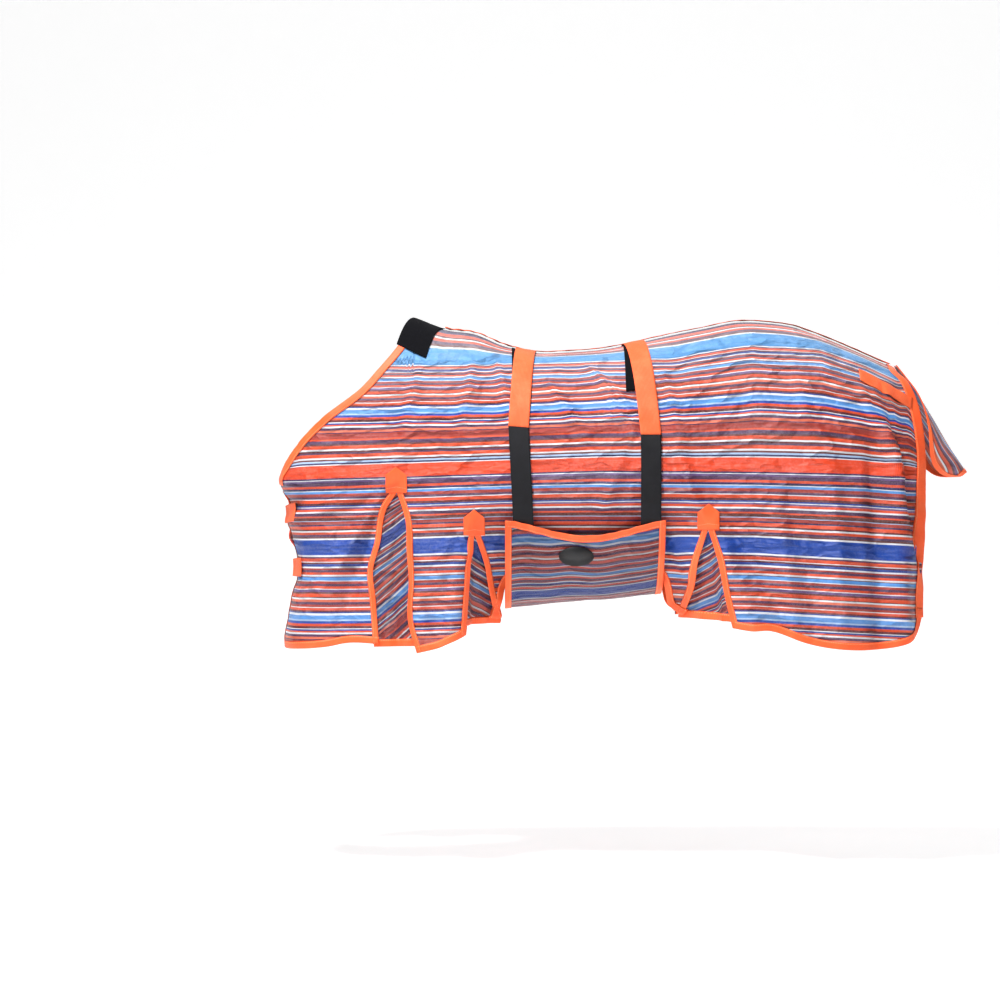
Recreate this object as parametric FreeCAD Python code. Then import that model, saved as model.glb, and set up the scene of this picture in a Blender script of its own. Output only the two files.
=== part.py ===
import FreeCAD, Part
import math
import os

# A horse's fly sheet with a belly wrap, worn and closed, in millimetres.
# Origin: the top of the withers on the spine.  -X is towards the head,
# -Y is the near (left) side of the horse, +Z is up.

Vec = FreeCAD.Vector

# overall sizes
body_length = 1875.0        # chest front to the rear edge, along X
hem_drop = 935.0            # withers down to the lowest hem
barrel_half_width = 292.0   # widest half width over the ribs
chest_half_width = 222.0    # half width where the chest starts to round off

# cloth and webbing
mesh_thickness = 1.2        # woven mesh panels
trim_thickness = 1.2        # folded binding, each side of the edge
layer_gap = 0.2             # sewn layers, face to face
neck_binding_width = 21.0
hem_binding_width = 20.0
rear_binding_width = 26.0
slit_binding_width = 16.0
front_binding_width = 16.0
spine_tape_width = 18.0
strap_width = 58.0          # surcingle webbing and elastic
strap_thickness = 1.6
strap_gap = 1.2             # surcingles over the layers that they cross
chest_strap_width = 55.0
chest_strap_thickness = 1.8
hook_thickness = 0.6
patch_width = 60.0          # gusset patch
patch_height = 74.0
roof_height = 24.0          # of the patch's pointed top
rump_patch_width = 40.0
gusset_overlap = 14.0       # gusset cloth sewn behind the slit's edges
gusset_rise = 12.0          # its lower edge above the sheet's corners
loop_patch_width = 50.0     # landing patches under the surcingles
loop_patch_low = -190.0     # Z of their lower ends
hook_inset = 3.0            # hook tape inside the strap's edges
flap_thickness = 1.4
split_gap = 0.8             # between cloth of two bodies, edge to edge

# the belly wrap
wrap_front = 186.0          # X of its front edge
wrap_rear = 642.0           # X of its rear edge
wrap_top = -556.0           # Z of its near top edge
wrap_hinge_angle = 222.0    # round the belly from the spine, where it is sewn on
wrap_off_angle = 244.0      # off top edge of the sewn part
wrap_lift = 5.0             # wrap cloth over the barrel's own surface, at the side
belly_room = 2.0            # and under the belly
wrap_sag = 44.0             # of its top edge between the two surcingles
badge_length = 100.0
badge_height = 54.0

# movement
chest_split = -250.0        # X of the near shoulder line where the front opens
strap_over_spine = 62.0     # surcingle end past the spine, on the off side
hinge_gap = 0.3             # degrees round the belly, between the sewn part and the part that drops

long = body_length / 1875.0
deep = hem_drop / 935.0
prism_reach = 900.0         # longer than the sheet is wide
above, below = 400.0, -1400.0           # Z clear of the whole sheet
crumb_share = 0.03          # a cut's solid smaller than this share of its largest is left out
surface_counts = (77, 37)   # points taken along and down one half of the cloth

# the covered body, from hand-chosen stations: X against a size
top_line = [(-475, -230), (-400, -90), (-300, 10), (-200, 44), (-100, 38), (9, 0), (100, -14),
            (177, -46), (276, -68), (376, -66), (473, -58), (584, -36), (670, -17), (770, 3),
            (864, 21), (963, 18), (1029, 8), (1094, -14), (1160, -40), (1225, -68),
            (1291, -97), (1325, -112), (1350, -135), (1375, -184), (1392, -236), (1412, -300)]
half_width_line = [(-275, 0.760), (-150, 0.805), (0, 0.897), (150, 0.960), (350, 1.0), (550, 1.0),
                   (750, 0.976), (950, 0.969), (1100, 0.942), (1200, 0.863), (1300, 0.702),
                   (1360, 0.548), (1412, 0.404)]
widest_line = [(-475, -520), (-250, -500), (0, -450), (300, -433), (600, -433), (900, -470),
               (1200, -490), (1412, -500)]
peak_line = [(-475, 1.0), (-200, 1.25), (0, 1.2), (250, 1.05), (600, 1.0), (1000, 0.95),
             (1300, 1.0), (1412, 1.0)]
chest_front = [(-960, -449), (-844, -449), (-778, -441), (-727, -423), (-667, -421), (-610, -437),
               (-573, -440), (-498, -447), (-485, -458), (-452, -472), (-400, -470), (-300, -440),
               (-100, -400), (100, -380)]
belly_line = [(180, -812), (310, -799), (400, -790), (507, -784), (600, -772), (650, -766)]

shoulder_x = -275.0         # the front rounds off ahead of this station
tail_head = 1325.0          # where the two rear edges meet on the spine
rear_line = [(-962, 1388), (-812, 1394), (-701, 1397), (-518, 1401), (-387, 1402), (-300, 1397),
             (-242, 1388), (-185, 1371), (-138, 1346), (-112, 1325)]
rear_ease = 40.0            # Z below the tail head over which the rear edge starts to lean out
surface_low = -962.0
tuck_depth = 287.0          # below the widest line, where the cloth is drawn in
tuck_share = 0.58           # how far it is drawn in there, as a share of the half width
tuck_rest = 0.5             # how much more than that below the wrap


def through(points, x):
    """A smooth curve through hand-chosen points."""
    last = len(points) - 1
    if x <= points[0][0]:
        return points[0][1]
    if x >= points[last][0]:
        return points[last][1]
    i = 0
    while x > points[i + 1][0]:
        i += 1
    x0, y0 = points[i]
    x1, y1 = points[i + 1]
    step = x1 - x0
    slope = (y1 - y0) / step
    before = (y0 - points[i - 1][1]) / (x0 - points[i - 1][0]) if i > 0 else slope
    after = (points[i + 2][1] - y1) / (points[i + 2][0] - x1) if i + 2 <= last else slope
    m0 = 0.5 * (before + slope)
    m1 = 0.5 * (after + slope)
    t = (x - x0) / step
    return ((2 * t**3 - 3 * t**2 + 1) * y0 + (t**3 - 2 * t**2 + t) * step * m0
            + (3 * t**2 - 2 * t**3) * y1 + (t**3 - t**2) * step * m1)


def smooth(a, b, x):
    t = min(1.0, max(0.0, (x - a) / (b - a)))
    return t * t * (3 - 2 * t)


def spine_z(x):
    return through(top_line, x / long) * deep


def widest_z(x):
    return through(widest_line, x / long) * deep


def full_half_width(x):
    share = through(half_width_line, x / long)
    front_share = half_width_line[0][1]
    own = share * barrel_half_width
    front = chest_half_width - front_share * barrel_half_width
    return own + front * (1.0 - smooth(shoulder_x, 150.0, x / long))


def front_x(z):
    return through(chest_front, z / deep) * long


def drawn_in(x):
    """0 where the cloth hangs free, 1 inside the belly wrap."""
    return smooth(20, 190, x / long) * (1.0 - smooth(638, 800, x / long))


def section_point(x, v):
    """Half width and Z at one station; v runs 0 at the spine, 1 at the widest, 2 at the bottom."""
    top, wide = spine_z(x), widest_z(x)
    width = full_half_width(max(x, shoulder_x * long))
    if v <= 1.0:
        angle = v * math.pi / 2
        return width * math.sin(angle) ** through(peak_line, x / long), wide + (top - wide) * math.cos(angle)
    z = wide + (v - 1.0) * (surface_low * deep - wide)
    drop = (wide - z) / (tuck_depth * deep)
    flare = 1.0 + 0.03 * drop * (1.0 - drawn_in(x))
    bend = drop * drop
    if drop > 1.0:
        bend = 1.0 + tuck_rest * (1.0 - math.exp(-2.0 * (drop - 1.0) / tuck_rest))
    return width * (flare - tuck_share * drawn_in(x) * bend), z


def body_point(u, v):
    """u below 0 rounds the chest (-1 is the middle of the chest); from 0 it runs to the rear."""
    shoulder = shoulder_x * long
    if u < 0:
        turn = (1.0 + u) * math.pi / 2
        station = shoulder - (1.0 - math.sin(turn)) * 160.0 * long
        half, z = section_point(station, v)
        nose = front_x(z)
        x = nose + (shoulder - nose) * (1.0 - math.cos(turn))
        return Vec(x, -half * math.sin(turn), z)
    station = shoulder + u * (tail_head * long - shoulder)
    half, z = section_point(station, v)
    overhang = (through(rear_line, z / deep) - tail_head) * long * u ** 10
    overhang *= smooth(0.0, rear_ease, spine_z(tail_head * long) - z)
    if overhang > 0:
        share = full_half_width(station + overhang) / full_half_width(station)
        return Vec(station + overhang, -half * share, z)
    return Vec(station, -half, z)


def outward(u, v):
    e = 1e-4
    along = body_point(min(1.0, u + e), v) - body_point(max(-1.0, u - e), v)
    down = body_point(u, min(2.0, v + e)) - body_point(u, max(0.0, v - e))
    n = down.cross(along)
    if u <= -1.0 + 1e-6:
        n = Vec(n.x, 0, n.z)
    if v <= 1e-6:
        n = Vec(n.x, 0, n.z)
    if n.Length < 1e-9:
        n = Vec(-1, 0, 1)
    n.normalize()
    return n


def sheet_solid(point, count_u, count_v, inner, outer):
    """A closed thin solid between two lifts of one curved sheet; point(i, j, lift) gives it."""
    surfaces = []
    for lift in (outer, inner):
        surface = Part.BSplineSurface()
        surface.interpolate([[point(i / (count_u - 1.0), j / (count_v - 1.0), lift)
                              for j in range(count_v)] for i in range(count_u)])
        surfaces.append(surface)
    out, inn = surfaces
    u0, u1, v0, v1 = out.bounds()
    a0, a1, b0, b1 = inn.bounds()
    rims = [(out.uIso(u0), inn.uIso(a0)), (out.uIso(u1), inn.uIso(a1)),
            (out.vIso(v0), inn.vIso(b0)), (out.vIso(v1), inn.vIso(b1))]
    faces = [out.toShape(), inn.toShape()]
    faces += [Part.makeRuledSurface(a.toShape(), b.toShape()) for a, b in rims]
    shell = Part.makeShell(faces)
    shell.sewShape(0.001)
    solid = Part.makeSolid(shell)
    if solid.Volume < 0:
        solid.reverse()
    return solid


def near_layer(inner, outer):
    """The whole near half of the cloth surface, as one layer."""
    front_share = 0.2

    def point(a, b, lift):
        if a < front_share:
            u = -1.0 + a / front_share
        else:
            t = (a - front_share) / (1.0 - front_share)
            u = 0.5 * t + 0.5 * math.sin(t * math.pi / 2)       # closer together at the rear
        v = 2.0 * b
        return body_point(u, v) + outward(u, v) * lift

    return sheet_solid(point, surface_counts[0], surface_counts[1], inner, outer)


layer_cache = {}


def layer(inner, outer):
    key = (round(inner, 3), round(outer, 3))
    if key not in layer_cache:
        layer_cache[key] = near_layer(inner, outer)
    return layer_cache[key]


def at(x, z):
    return (x * long, z * deep)


def prism(outline):
    """A side-view outline of (x, z) points, right through the near half."""
    points = [Vec(x, -prism_reach, z) for x, z in outline]
    points.append(points[0])
    return Part.Face(Part.makePolygon(points)).extrude(Vec(0, prism_reach + 50, 0))


def shifted(path, width):
    """A side-view line moved to its own left by width."""
    moved = []
    last = len(path) - 1
    for i, (x, z) in enumerate(path):
        ax, az = path[max(0, i - 1)]
        bx, bz = path[min(last, i + 1)]
        dx, dz = bx - ax, bz - az
        size = math.hypot(dx, dz)
        moved.append((x - dz / size * width, z + dx / size * width))
    return moved


def band(path, width):
    return list(path) + shifted(path, width)[::-1]


def cut_from(base, outline):
    piece = base.common(prism(outline))
    return joined(piece.Solids)


def joined(solids):
    """One shape from a cut's solids, without the crumbs at its corners."""
    largest = max(one.Volume for one in solids)
    kept = [one for one in solids if one.Volume > crumb_share * largest]
    return kept[0] if len(kept) == 1 else Part.makeCompound(kept)


def off(shape):
    return shape.mirror(Vec(0, 0, 0), Vec(0, 1, 0))


def across(shape):
    """A piece that crosses the spine, from its near half."""
    return shape.fuse(off(shape)).removeSplitter()


parts = {}

mesh_out = mesh_thickness
trim_in = mesh_out + layer_gap
trim_out = trim_in + trim_thickness
patch_in = trim_out + layer_gap
patch_out = patch_in + trim_thickness
strap_in = patch_out + strap_gap
strap_out = strap_in + strap_thickness
behind = -layer_gap - mesh_thickness

mesh_layer = layer(0, mesh_out)
trim_layer = layer(trim_in, trim_out)
patch_layer = layer(patch_in, patch_out)
strap_layer = layer(strap_in, strap_out)
tab_layer = layer(patch_in, strap_out)
hook_out = strap_in - layer_gap
hook_layer = layer(hook_out - hook_thickness, hook_out)
behind_layer = layer(behind, -layer_gap)

# side-view lines of the near half, head end first
neck_edge = [at(-70, 60), at(-125, -54), at(-180, -122), at(-237, -184), at(-333, -257),
             at(-399, -322), at(-439, -373), at(-466, -420), at(-500, -462)]
hem_front = [at(-500, -929), at(-436, -929), at(-340, -920), at(-256, -906), at(-174, -909)]
hem_second = [at(-66, -935), at(0, -918), at(68, -884)]
hem_third = [at(160, -846), at(178, -790), at(190, -742), at(228, -702), at(600, -700), at(630, -712),
             at(648, -748), at(664, -806), at(701, -832)]
hem_rear = [at(829, -862), at(883, -871), at(936, -870), at(1040, -905), at(1126, -922),
            at(1224, -926), at(1310, -917), at(1358, -893), at(1384, -856), at(1391, -812), at(1500, -811)]
hems = (hem_front, hem_second, hem_third, hem_rear)

slits = [("front", [at(-128, -476), at(-156, -530), at(-171, -621), at(-191, -700), at(-184, -778),
                    at(-174, -909)],
          [at(-120, -476), at(-98, -556), at(-90, -648), at(-86, -720), at(-92, -838), at(-66, -935)]),
         ("middle", [at(93, -596), at(84, -687), at(78, -778), at(68, -884)],
          [at(101, -596), at(124, -675), at(140, -760), at(160, -846)]),
         ("rear", [at(758, -580), at(736, -668), at(727, -747), at(701, -832)],
          [at(766, -580), at(789, -675), at(806, -767), at(829, -862)])]

outline = [at(-300, 300)] + neck_edge + hem_front
outline += slits[0][1][::-1][1:] + slits[0][2][:-1]
outline += hem_second
outline += slits[1][1][::-1][1:] + slits[1][2][:-1]
outline += hem_third
outline += slits[2][1][::-1][1:] + slits[2][2][:-1]
outline += hem_rear + [at(1500, -810), at(1500, 300)]

panel = joined(mesh_layer.common(prism(outline)).Solids)
parts["off_side_panel"] = off(panel)

split_fore, split_aft = chest_split * long - split_gap / 2, chest_split * long + split_gap / 2
front_half = [(-prism_reach, above), (-prism_reach, below), (split_fore, below), (split_fore, above)]
rear_half = [(split_aft, above), (split_aft, below), (body_length, below), (body_length, above)]


def split(shape):
    """The chest's share and the rest of a near piece that runs past the shoulder line."""
    return joined(shape.common(prism(front_half)).Solids), joined(shape.common(prism(rear_half)).Solids)


parts["near_chest_panel"], parts["near_side_panel"] = split(panel)

# bindings; the chest's own front edge is bound down the middle of the chest
neck_run = [at(-105, 20)] + neck_edge[1:]
neck_binding = cut_from(trim_layer, band(neck_run, neck_binding_width))
parts["off_neck_binding"] = off(neck_binding)
parts["near_chest_neck_binding"], parts["near_neck_binding"] = split(neck_binding)

below_neck = at(-475, -490)[1]
front_strip = [(-prism_reach, below_neck), (-prism_reach, hem_front[1][1] + hem_binding_width + 1)]
front_strip += [(front_x(z * deep) + front_binding_width, z * deep)
                for z in (-908, -844, -778, -727, -667, -610, -573, -520, -490)]
front_binding = cut_from(trim_layer, front_strip)
parts["near_chest_front_binding"] = front_binding
parts["off_chest_front_binding"] = off(front_binding)

hem_pieces = [cut_from(trim_layer, band(run, hem_binding_width)) for run in hems]
chest_hem, shoulder_hem = split(hem_pieces[0])
parts["near_chest_hem_binding"] = chest_hem
parts["near_hem_binding"] = Part.makeCompound([shoulder_hem] + hem_pieces[1:])
parts["off_hem_binding"] = off(Part.makeCompound(hem_pieces))

rear_share = 0.0135         # of the cloth's run from shoulder to rear, for one binding's width
rear_strip_low = -834.0     # Z where the strip meets the hem's binding
rear_strip_end = 1.0 + ((widest_z(tail_head * long) - rear_strip_low * deep)
                        / (widest_z(tail_head * long) - surface_low * deep))
rear_strip_start = 0.06     # just off the spine, where the two sides meet
hem_room = 0.3              # side by side bindings, edge to edge
strip_lift = 0.7            # it stands this much higher, over the cloth's tight curve there


def rear_strip(share):
    def point(a, b, lift):
        u = 1.0 - share * (1.0 - a)
        v = rear_strip_start + (rear_strip_end - rear_strip_start) * b
        return body_point(u, v) + outward(u, v) * lift
    return point


over_hems = [prism(band(run, hem_binding_width + hem_room)) for run in hems]
rear_binding = sheet_solid(rear_strip(rear_share), 4, 60, trim_in + strip_lift, trim_out + strip_lift)
rear_binding = rear_binding.cut(over_hems[-1])

# spine tape, from the withers patch to the tail head
spine_start, spine_end = 14.0, 1255.0


def over_spine(x0, x1, half_width, inner, outer):
    """A strip that lies along the spine, with its middle on it."""
    run = tail_head * long - shoulder_x * long

    def point(a, b, lift):
        u = ((x0 + (x1 - x0) * a) * long - shoulder_x * long) / run
        station = shoulder_x * long + u * run
        side = 2.0 * b - 1.0
        share = (half_width / full_half_width(station)) ** (1.0 / through(peak_line, station / long))
        v = abs(side) * math.asin(share) * 2 / math.pi
        p = body_point(u, v) + outward(u, v) * lift
        return p if side <= 0 else Vec(p.x, -p.y, p.z)

    return sheet_solid(point, 81, 9, inner, outer)


withers_outline = [at(-77, above), at(-83, 20), at(-128, -50), at(-43, -90), at(9, -8), at(9, above)]
withers_half = cut_from(patch_layer, withers_outline)
parts["withers_patch"] = across(withers_half)
parts["spine_binding"] = over_spine(spine_start, spine_end, spine_tape_width / 2,
                                    trim_in + layer_gap / 2, trim_out + layer_gap / 2)
parts["near_rear_binding"] = joined(rear_binding.Solids)
parts["off_rear_binding"] = off(joined(rear_binding.Solids))

# gussets: cloth behind each slit, binding down its edges and a patch over its top
for name, fore, aft in slits:
    wide_fore = [(x - gusset_overlap, z) for x, z in fore]
    wide_aft = [(x + gusset_overlap, z) for x, z in aft]
    foot = [(fore[-1][0], fore[-1][1] + gusset_rise), (aft[-1][0], aft[-1][1] + gusset_rise)]
    gusset = cut_from(behind_layer, wide_fore[:-1] + foot + wide_aft[:-1][::-1])
    patch_bottom = fore[0][1]
    clear = patch_bottom - hem_room
    edges = []
    for path, sign in ((fore, -1), (aft, 1)):
        run = [((path[0][0]), clear)] + path[1:]
        shift = shifted(run, -slit_binding_width * sign)
        edges.append(cut_from(trim_layer, run + shift[::-1]))
    bound = Part.makeCompound(edges)
    for tool in over_hems:
        bound = bound.cut(tool)
    half = patch_width / 2
    centre = (fore[0][0] + aft[0][0]) / 2
    eaves = patch_bottom + patch_height - roof_height
    house = [(centre - half, patch_bottom), (centre + half, patch_bottom), (centre + half, eaves),
             (centre, patch_bottom + patch_height), (centre - half, eaves)]
    patch = cut_from(trim_layer, house)
    for side, turn in (("near", lambda s: s), ("off", off)):
        parts[side + "_" + name + "_gusset"] = turn(gusset)
        parts[side + "_" + name + "_slit_binding"] = turn(joined(bound.Solids))
        parts[side + "_" + name + "_gusset_patch"] = turn(patch)

# rump strips that carry the tail cord's keeper
rump = [at(1200, -138), at(1216, -119), at(1364, -203), at(1360, -236), at(1216, -158)]
clear_of_rear = sheet_solid(rear_strip(rear_share + 0.0005), 4, 60, 0.5, patch_out + layer_gap)
rump_patch = joined(cut_from(patch_layer, rump).cut(clear_of_rear).Solids)
parts["near_rump_patch"] = rump_patch
parts["off_rump_patch"] = off(rump_patch)

# surcingles: hook-and-loop landing patches on the sheet, then the straps over them
surcingles = [("front", 248.0, 224.0, 239.0, -293.0, 205.0), ("rear", 559.0, 599.0, 600.0, -315.0, 531.0)]
strap_foot = wrap_top * deep + split_gap


def strap_outline(x_top, x_seam, x_low, z_seam, z_from, z_to, width):
    """The near half of a surcingle between two heights, slanting through its own centre line."""
    def centre(z):
        if z > z_seam * deep:
            return (x_seam + (x_top - x_seam) * (z - z_seam * deep) / (-z_seam * deep)) * long
        return (x_low + (x_seam - x_low) * (z - strap_foot) / (z_seam * deep - strap_foot)) * long
    heights = [z_from] + ([z_seam * deep] if z_to < z_seam * deep < z_from else []) + [z_to]
    left = [(centre(min(z, 0)) - width / 2, z) for z in heights]
    right = [(centre(min(z, 0)) + width / 2, z) for z in heights]
    return left + right[::-1]


def drop_past_spine(x, reach):
    """Z on the cloth at one station, a distance round the back from the spine."""
    v, gone = 0.0, 0.0
    last = section_point(x, 0.0)
    while gone < reach:
        v += 0.004
        here = section_point(x, v)
        gone += math.hypot(here[0] - last[0], here[1] - last[1])
        last = here
    return last[1]


for name, x_top, x_seam, x_low, z_seam, patch_x in surcingles:
    patch_end = patch_x + loop_patch_width / long
    landing = cut_from(patch_layer, [at(patch_x, above), at(patch_x, loop_patch_low),
                                     at(patch_end, loop_patch_low), at(patch_end, above)])
    parts[name + "_surcingle_loop_patch"] = across(landing)
    low_z = drop_past_spine(x_top * long, strap_over_spine)
    line = (x_top, x_seam, x_low, z_seam)
    seam = z_seam * deep
    near_web = cut_from(strap_layer, strap_outline(*line, above, seam, strap_width))
    off_web = off(cut_from(strap_layer, strap_outline(*line, above, low_z, strap_width)))
    parts[name + "_surcingle_webbing"] = near_web.fuse(off_web).removeSplitter()
    elastic_line = strap_outline(*line, seam - layer_gap, strap_foot, strap_width)
    parts[name + "_surcingle_elastic"] = cut_from(strap_layer, elastic_line)
    hook_width = strap_width - 2 * hook_inset
    hook_end = (loop_patch_low + 15.0) * deep
    near_hook = cut_from(hook_layer, strap_outline(*line, above, hook_end, hook_width))
    off_hook = off(cut_from(hook_layer, strap_outline(*line, above, low_z + hook_inset, hook_width)))
    parts[name + "_surcingle_hook_tape"] = near_hook.fuse(off_hook).removeSplitter()


# belly wrap: a band round the underside, its off edge sewn to the sheet
def wrap_point(x, angle, lift):
    turn = math.radians(angle)
    wide = widest_z(x)
    height = wide - through(belly_line, x / long) * deep + belly_room
    width = full_half_width(x) + wrap_lift
    away = Vec(0, -math.sin(turn) / width, math.cos(turn) / height)
    away.normalize()
    return Vec(x, -width * math.sin(turn), wide + height * math.cos(turn)) + away * lift


def wrap_angle(x, z):
    """Angle from the spine where the near side of the wrap is at height z."""
    wide = widest_z(x)
    height = wide - through(belly_line, x / long) * deep + belly_room
    return 90.0 + math.degrees(math.asin((wide - z) / height))


def top_edge(x):
    """The wrap's near top edge sags between the two surcingles."""
    share = (x / long - wrap_front) / (wrap_rear - wrap_front)
    sag = wrap_sag * math.sin(math.pi * min(1.0, max(0.0, share))) ** 1.5
    return (wrap_top - sag) * deep


def wrap_strip(x0, x1, start, end, inner, outer, count_u=12, count_v=30):
    def point(a, b, lift):
        x = (x0 + (x1 - x0) * a) * long
        first = start(x) if callable(start) else start
        final = end(x) if callable(end) else end
        return wrap_point(x, first + (final - first) * b, lift)
    return sheet_solid(point, count_u, count_v, inner, outer)


edge = front_binding_width + 2.0
below_top = 0.4             # degrees between the top binding and the side ones


def near_top(x):
    return wrap_angle(x, top_edge(x))


def under_top_binding(x):
    return wrap_angle(x, top_edge(x) - edge)


def side_start(x):
    return under_top_binding(x) + below_top


near_end = wrap_hinge_angle - hinge_gap / 2
far_start = wrap_hinge_angle + hinge_gap / 2
fore_edge, aft_edge = (wrap_front, wrap_front + edge), (wrap_rear - edge, wrap_rear)
parts["belly_wrap_panel"] = wrap_strip(wrap_front, wrap_rear, near_top, near_end, 0, mesh_thickness, 21, 30)
parts["wrap_top_binding"] = wrap_strip(wrap_front, wrap_rear, near_top, under_top_binding,
                                       trim_in, trim_out, 21, 3)
parts["wrap_front_binding"] = wrap_strip(*fore_edge, side_start, near_end, trim_in, trim_out, 3, 30)
parts["wrap_rear_binding"] = wrap_strip(*aft_edge, side_start, near_end, trim_in, trim_out, 3, 30)
parts["wrap_off_panel"] = wrap_strip(wrap_front, wrap_rear, far_start, wrap_off_angle,
                                     0, mesh_thickness, 21, 8)
off_binding = [wrap_strip(*ends, far_start, wrap_off_angle, trim_in, trim_out, 3, 8)
               for ends in (fore_edge, aft_edge)]
parts["wrap_off_binding"] = Part.makeCompound(off_binding)

badge_x, badge_z = 389.0 * long, -657.0 * deep
badge_thickness = 0.8
around = 13.0               # the badge's own cloth before the oval is cut from it
badge_reach = badge_length / 2 + around
badge_base = wrap_strip(badge_x / long - badge_reach, badge_x / long + badge_reach,
                        lambda x: wrap_angle(x, badge_z + badge_height / 2 + around),
                        lambda x: wrap_angle(x, badge_z - badge_height / 2 - around),
                        trim_in, trim_in + badge_thickness, 5, 9)
ellipse = Part.Ellipse(Vec(badge_x, -prism_reach, badge_z), badge_length / 2, badge_height / 2)
ellipse.Axis = Vec(0, 1, 0)
oval = Part.Face(Part.Wire(ellipse.toShape())).extrude(Vec(0, prism_reach, 0))
parts["wrap_badge"] = joined(badge_base.common(oval).Solids)

# chest closures: a tab on the near front edge, a strap round the chest, hook under loop on the off side
closures = [("upper", -538.0), ("lower", -696.0)]
tab_length = 26.0
strap_reach = 128.0         # X run of the strap back along the off chest
loop_margin = 4.0           # loop patch wider than the strap, on each side
loop_extra = 24.0           # and longer
hook_start = 34.0           # hook tape's near end behind the chest's front


def upright_box(x0, x1, z0, z1):
    return [(x0, z0), (x1, z0), (x1, z1), (x0, z1)]


for name, z_mid in closures:
    z0, z1 = z_mid * deep - chest_strap_width / 2, z_mid * deep + chest_strap_width / 2
    nose = front_x(z_mid * deep)
    parts[name + "_chest_tab"] = cut_from(tab_layer, upright_box(-prism_reach, nose + tab_length, z0, z1))
    strap = cut_from(strap_layer, upright_box(-prism_reach, nose + strap_reach, z0, z1))
    parts[name + "_chest_strap"] = off(strap)
    loop = cut_from(trim_layer, upright_box(nose + tab_length, nose + strap_reach + loop_extra,
                                            z0 - loop_margin, z1 + loop_margin))
    parts[name + "_chest_loop_patch"] = off(loop)
    hook = cut_from(hook_layer, upright_box(nose + hook_start, nose + strap_reach - hook_inset,
                                            z0 + hook_inset, z1 - hook_inset))
    parts[name + "_chest_hook_tape"] = off(hook)

# tail flap: a cupped tongue that hangs from the tail head
flap_length = 375.0
flap_root = at(1333, -104)
flap_slope = math.radians(-56.8)        # of its ridge, seen from the side
flap_depth = [(0.0, 3), (0.12, 3), (0.25, 4), (0.4, 16), (0.545, 38), (0.62, 54), (0.75, 78), (0.84, 80),
              (0.93, 62), (1.0, 22)]
flap_spread = [(0.0, 22), (0.12, 52), (0.25, 86), (0.4, 100), (0.545, 108), (0.75, 100), (0.88, 78),
               (0.95, 50), (1.0, 20)]


def flap_point(a, b, lift):
    """a runs from the tail head to the tip, b from the near edge over the ridge to the off edge."""
    def here(p, q):
        turn = q * math.pi / 2
        depth = through(flap_depth, p) * (1.0 - math.cos(turn))
        reach = flap_length * p
        x = flap_root[0] + reach * math.cos(flap_slope) + depth * math.sin(flap_slope)
        z = flap_root[1] + reach * math.sin(flap_slope) - depth * math.cos(flap_slope)
        return Vec(x, through(flap_spread, p) * math.sin(turn), z)
    q = 2.0 * b - 1.0
    e = 1e-3
    along = here(min(1.0, a + e), q) - here(max(0.0, a - e), q)
    side = here(a, min(1.0, q + e)) - here(a, max(-1.0, q - e))
    n = along.cross(side)
    n.normalize()
    return here(a, q) + n * lift


flap_edge = 0.07            # binding's share of the way across
flap_hem = 0.035            # and of the way down, at the tip
flap_inner = 1.05 * flap_edge
parts["tail_flap_panel"] = sheet_solid(flap_point, 49, 49, 0, flap_thickness)
flap_trim_in = flap_thickness + 3 * layer_gap
flap_trim_out = flap_trim_in + trim_thickness


def flap_side(turned):
    def point(a, b, lift):
        return flap_point(a, 1.0 - b * flap_edge if turned else b * flap_edge, lift)
    return sheet_solid(point, 49, 5, flap_trim_in, flap_trim_out)


def flap_tip(a, b, lift):
    return flap_point(1.0 - flap_hem * (1.0 - a), flap_inner + b * (1.0 - 2.0 * flap_inner), lift)


parts["tail_flap_binding"] = Part.makeCompound([flap_side(False), flap_side(True),
                                                sheet_solid(flap_tip, 4, 25, flap_trim_in, flap_trim_out)])

os.makedirs("parts", exist_ok=True)
for name, shape in sorted(parts.items()):
    shape.exportStep("parts/" + name + ".step")
    print(name, shape.isValid(), len(shape.Solids), round(shape.Volume / 1000.0, 1), "cm3")
print(len(parts), "nodes")
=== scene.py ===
import math

import bmesh
import bpy
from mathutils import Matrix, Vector, noise


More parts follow.
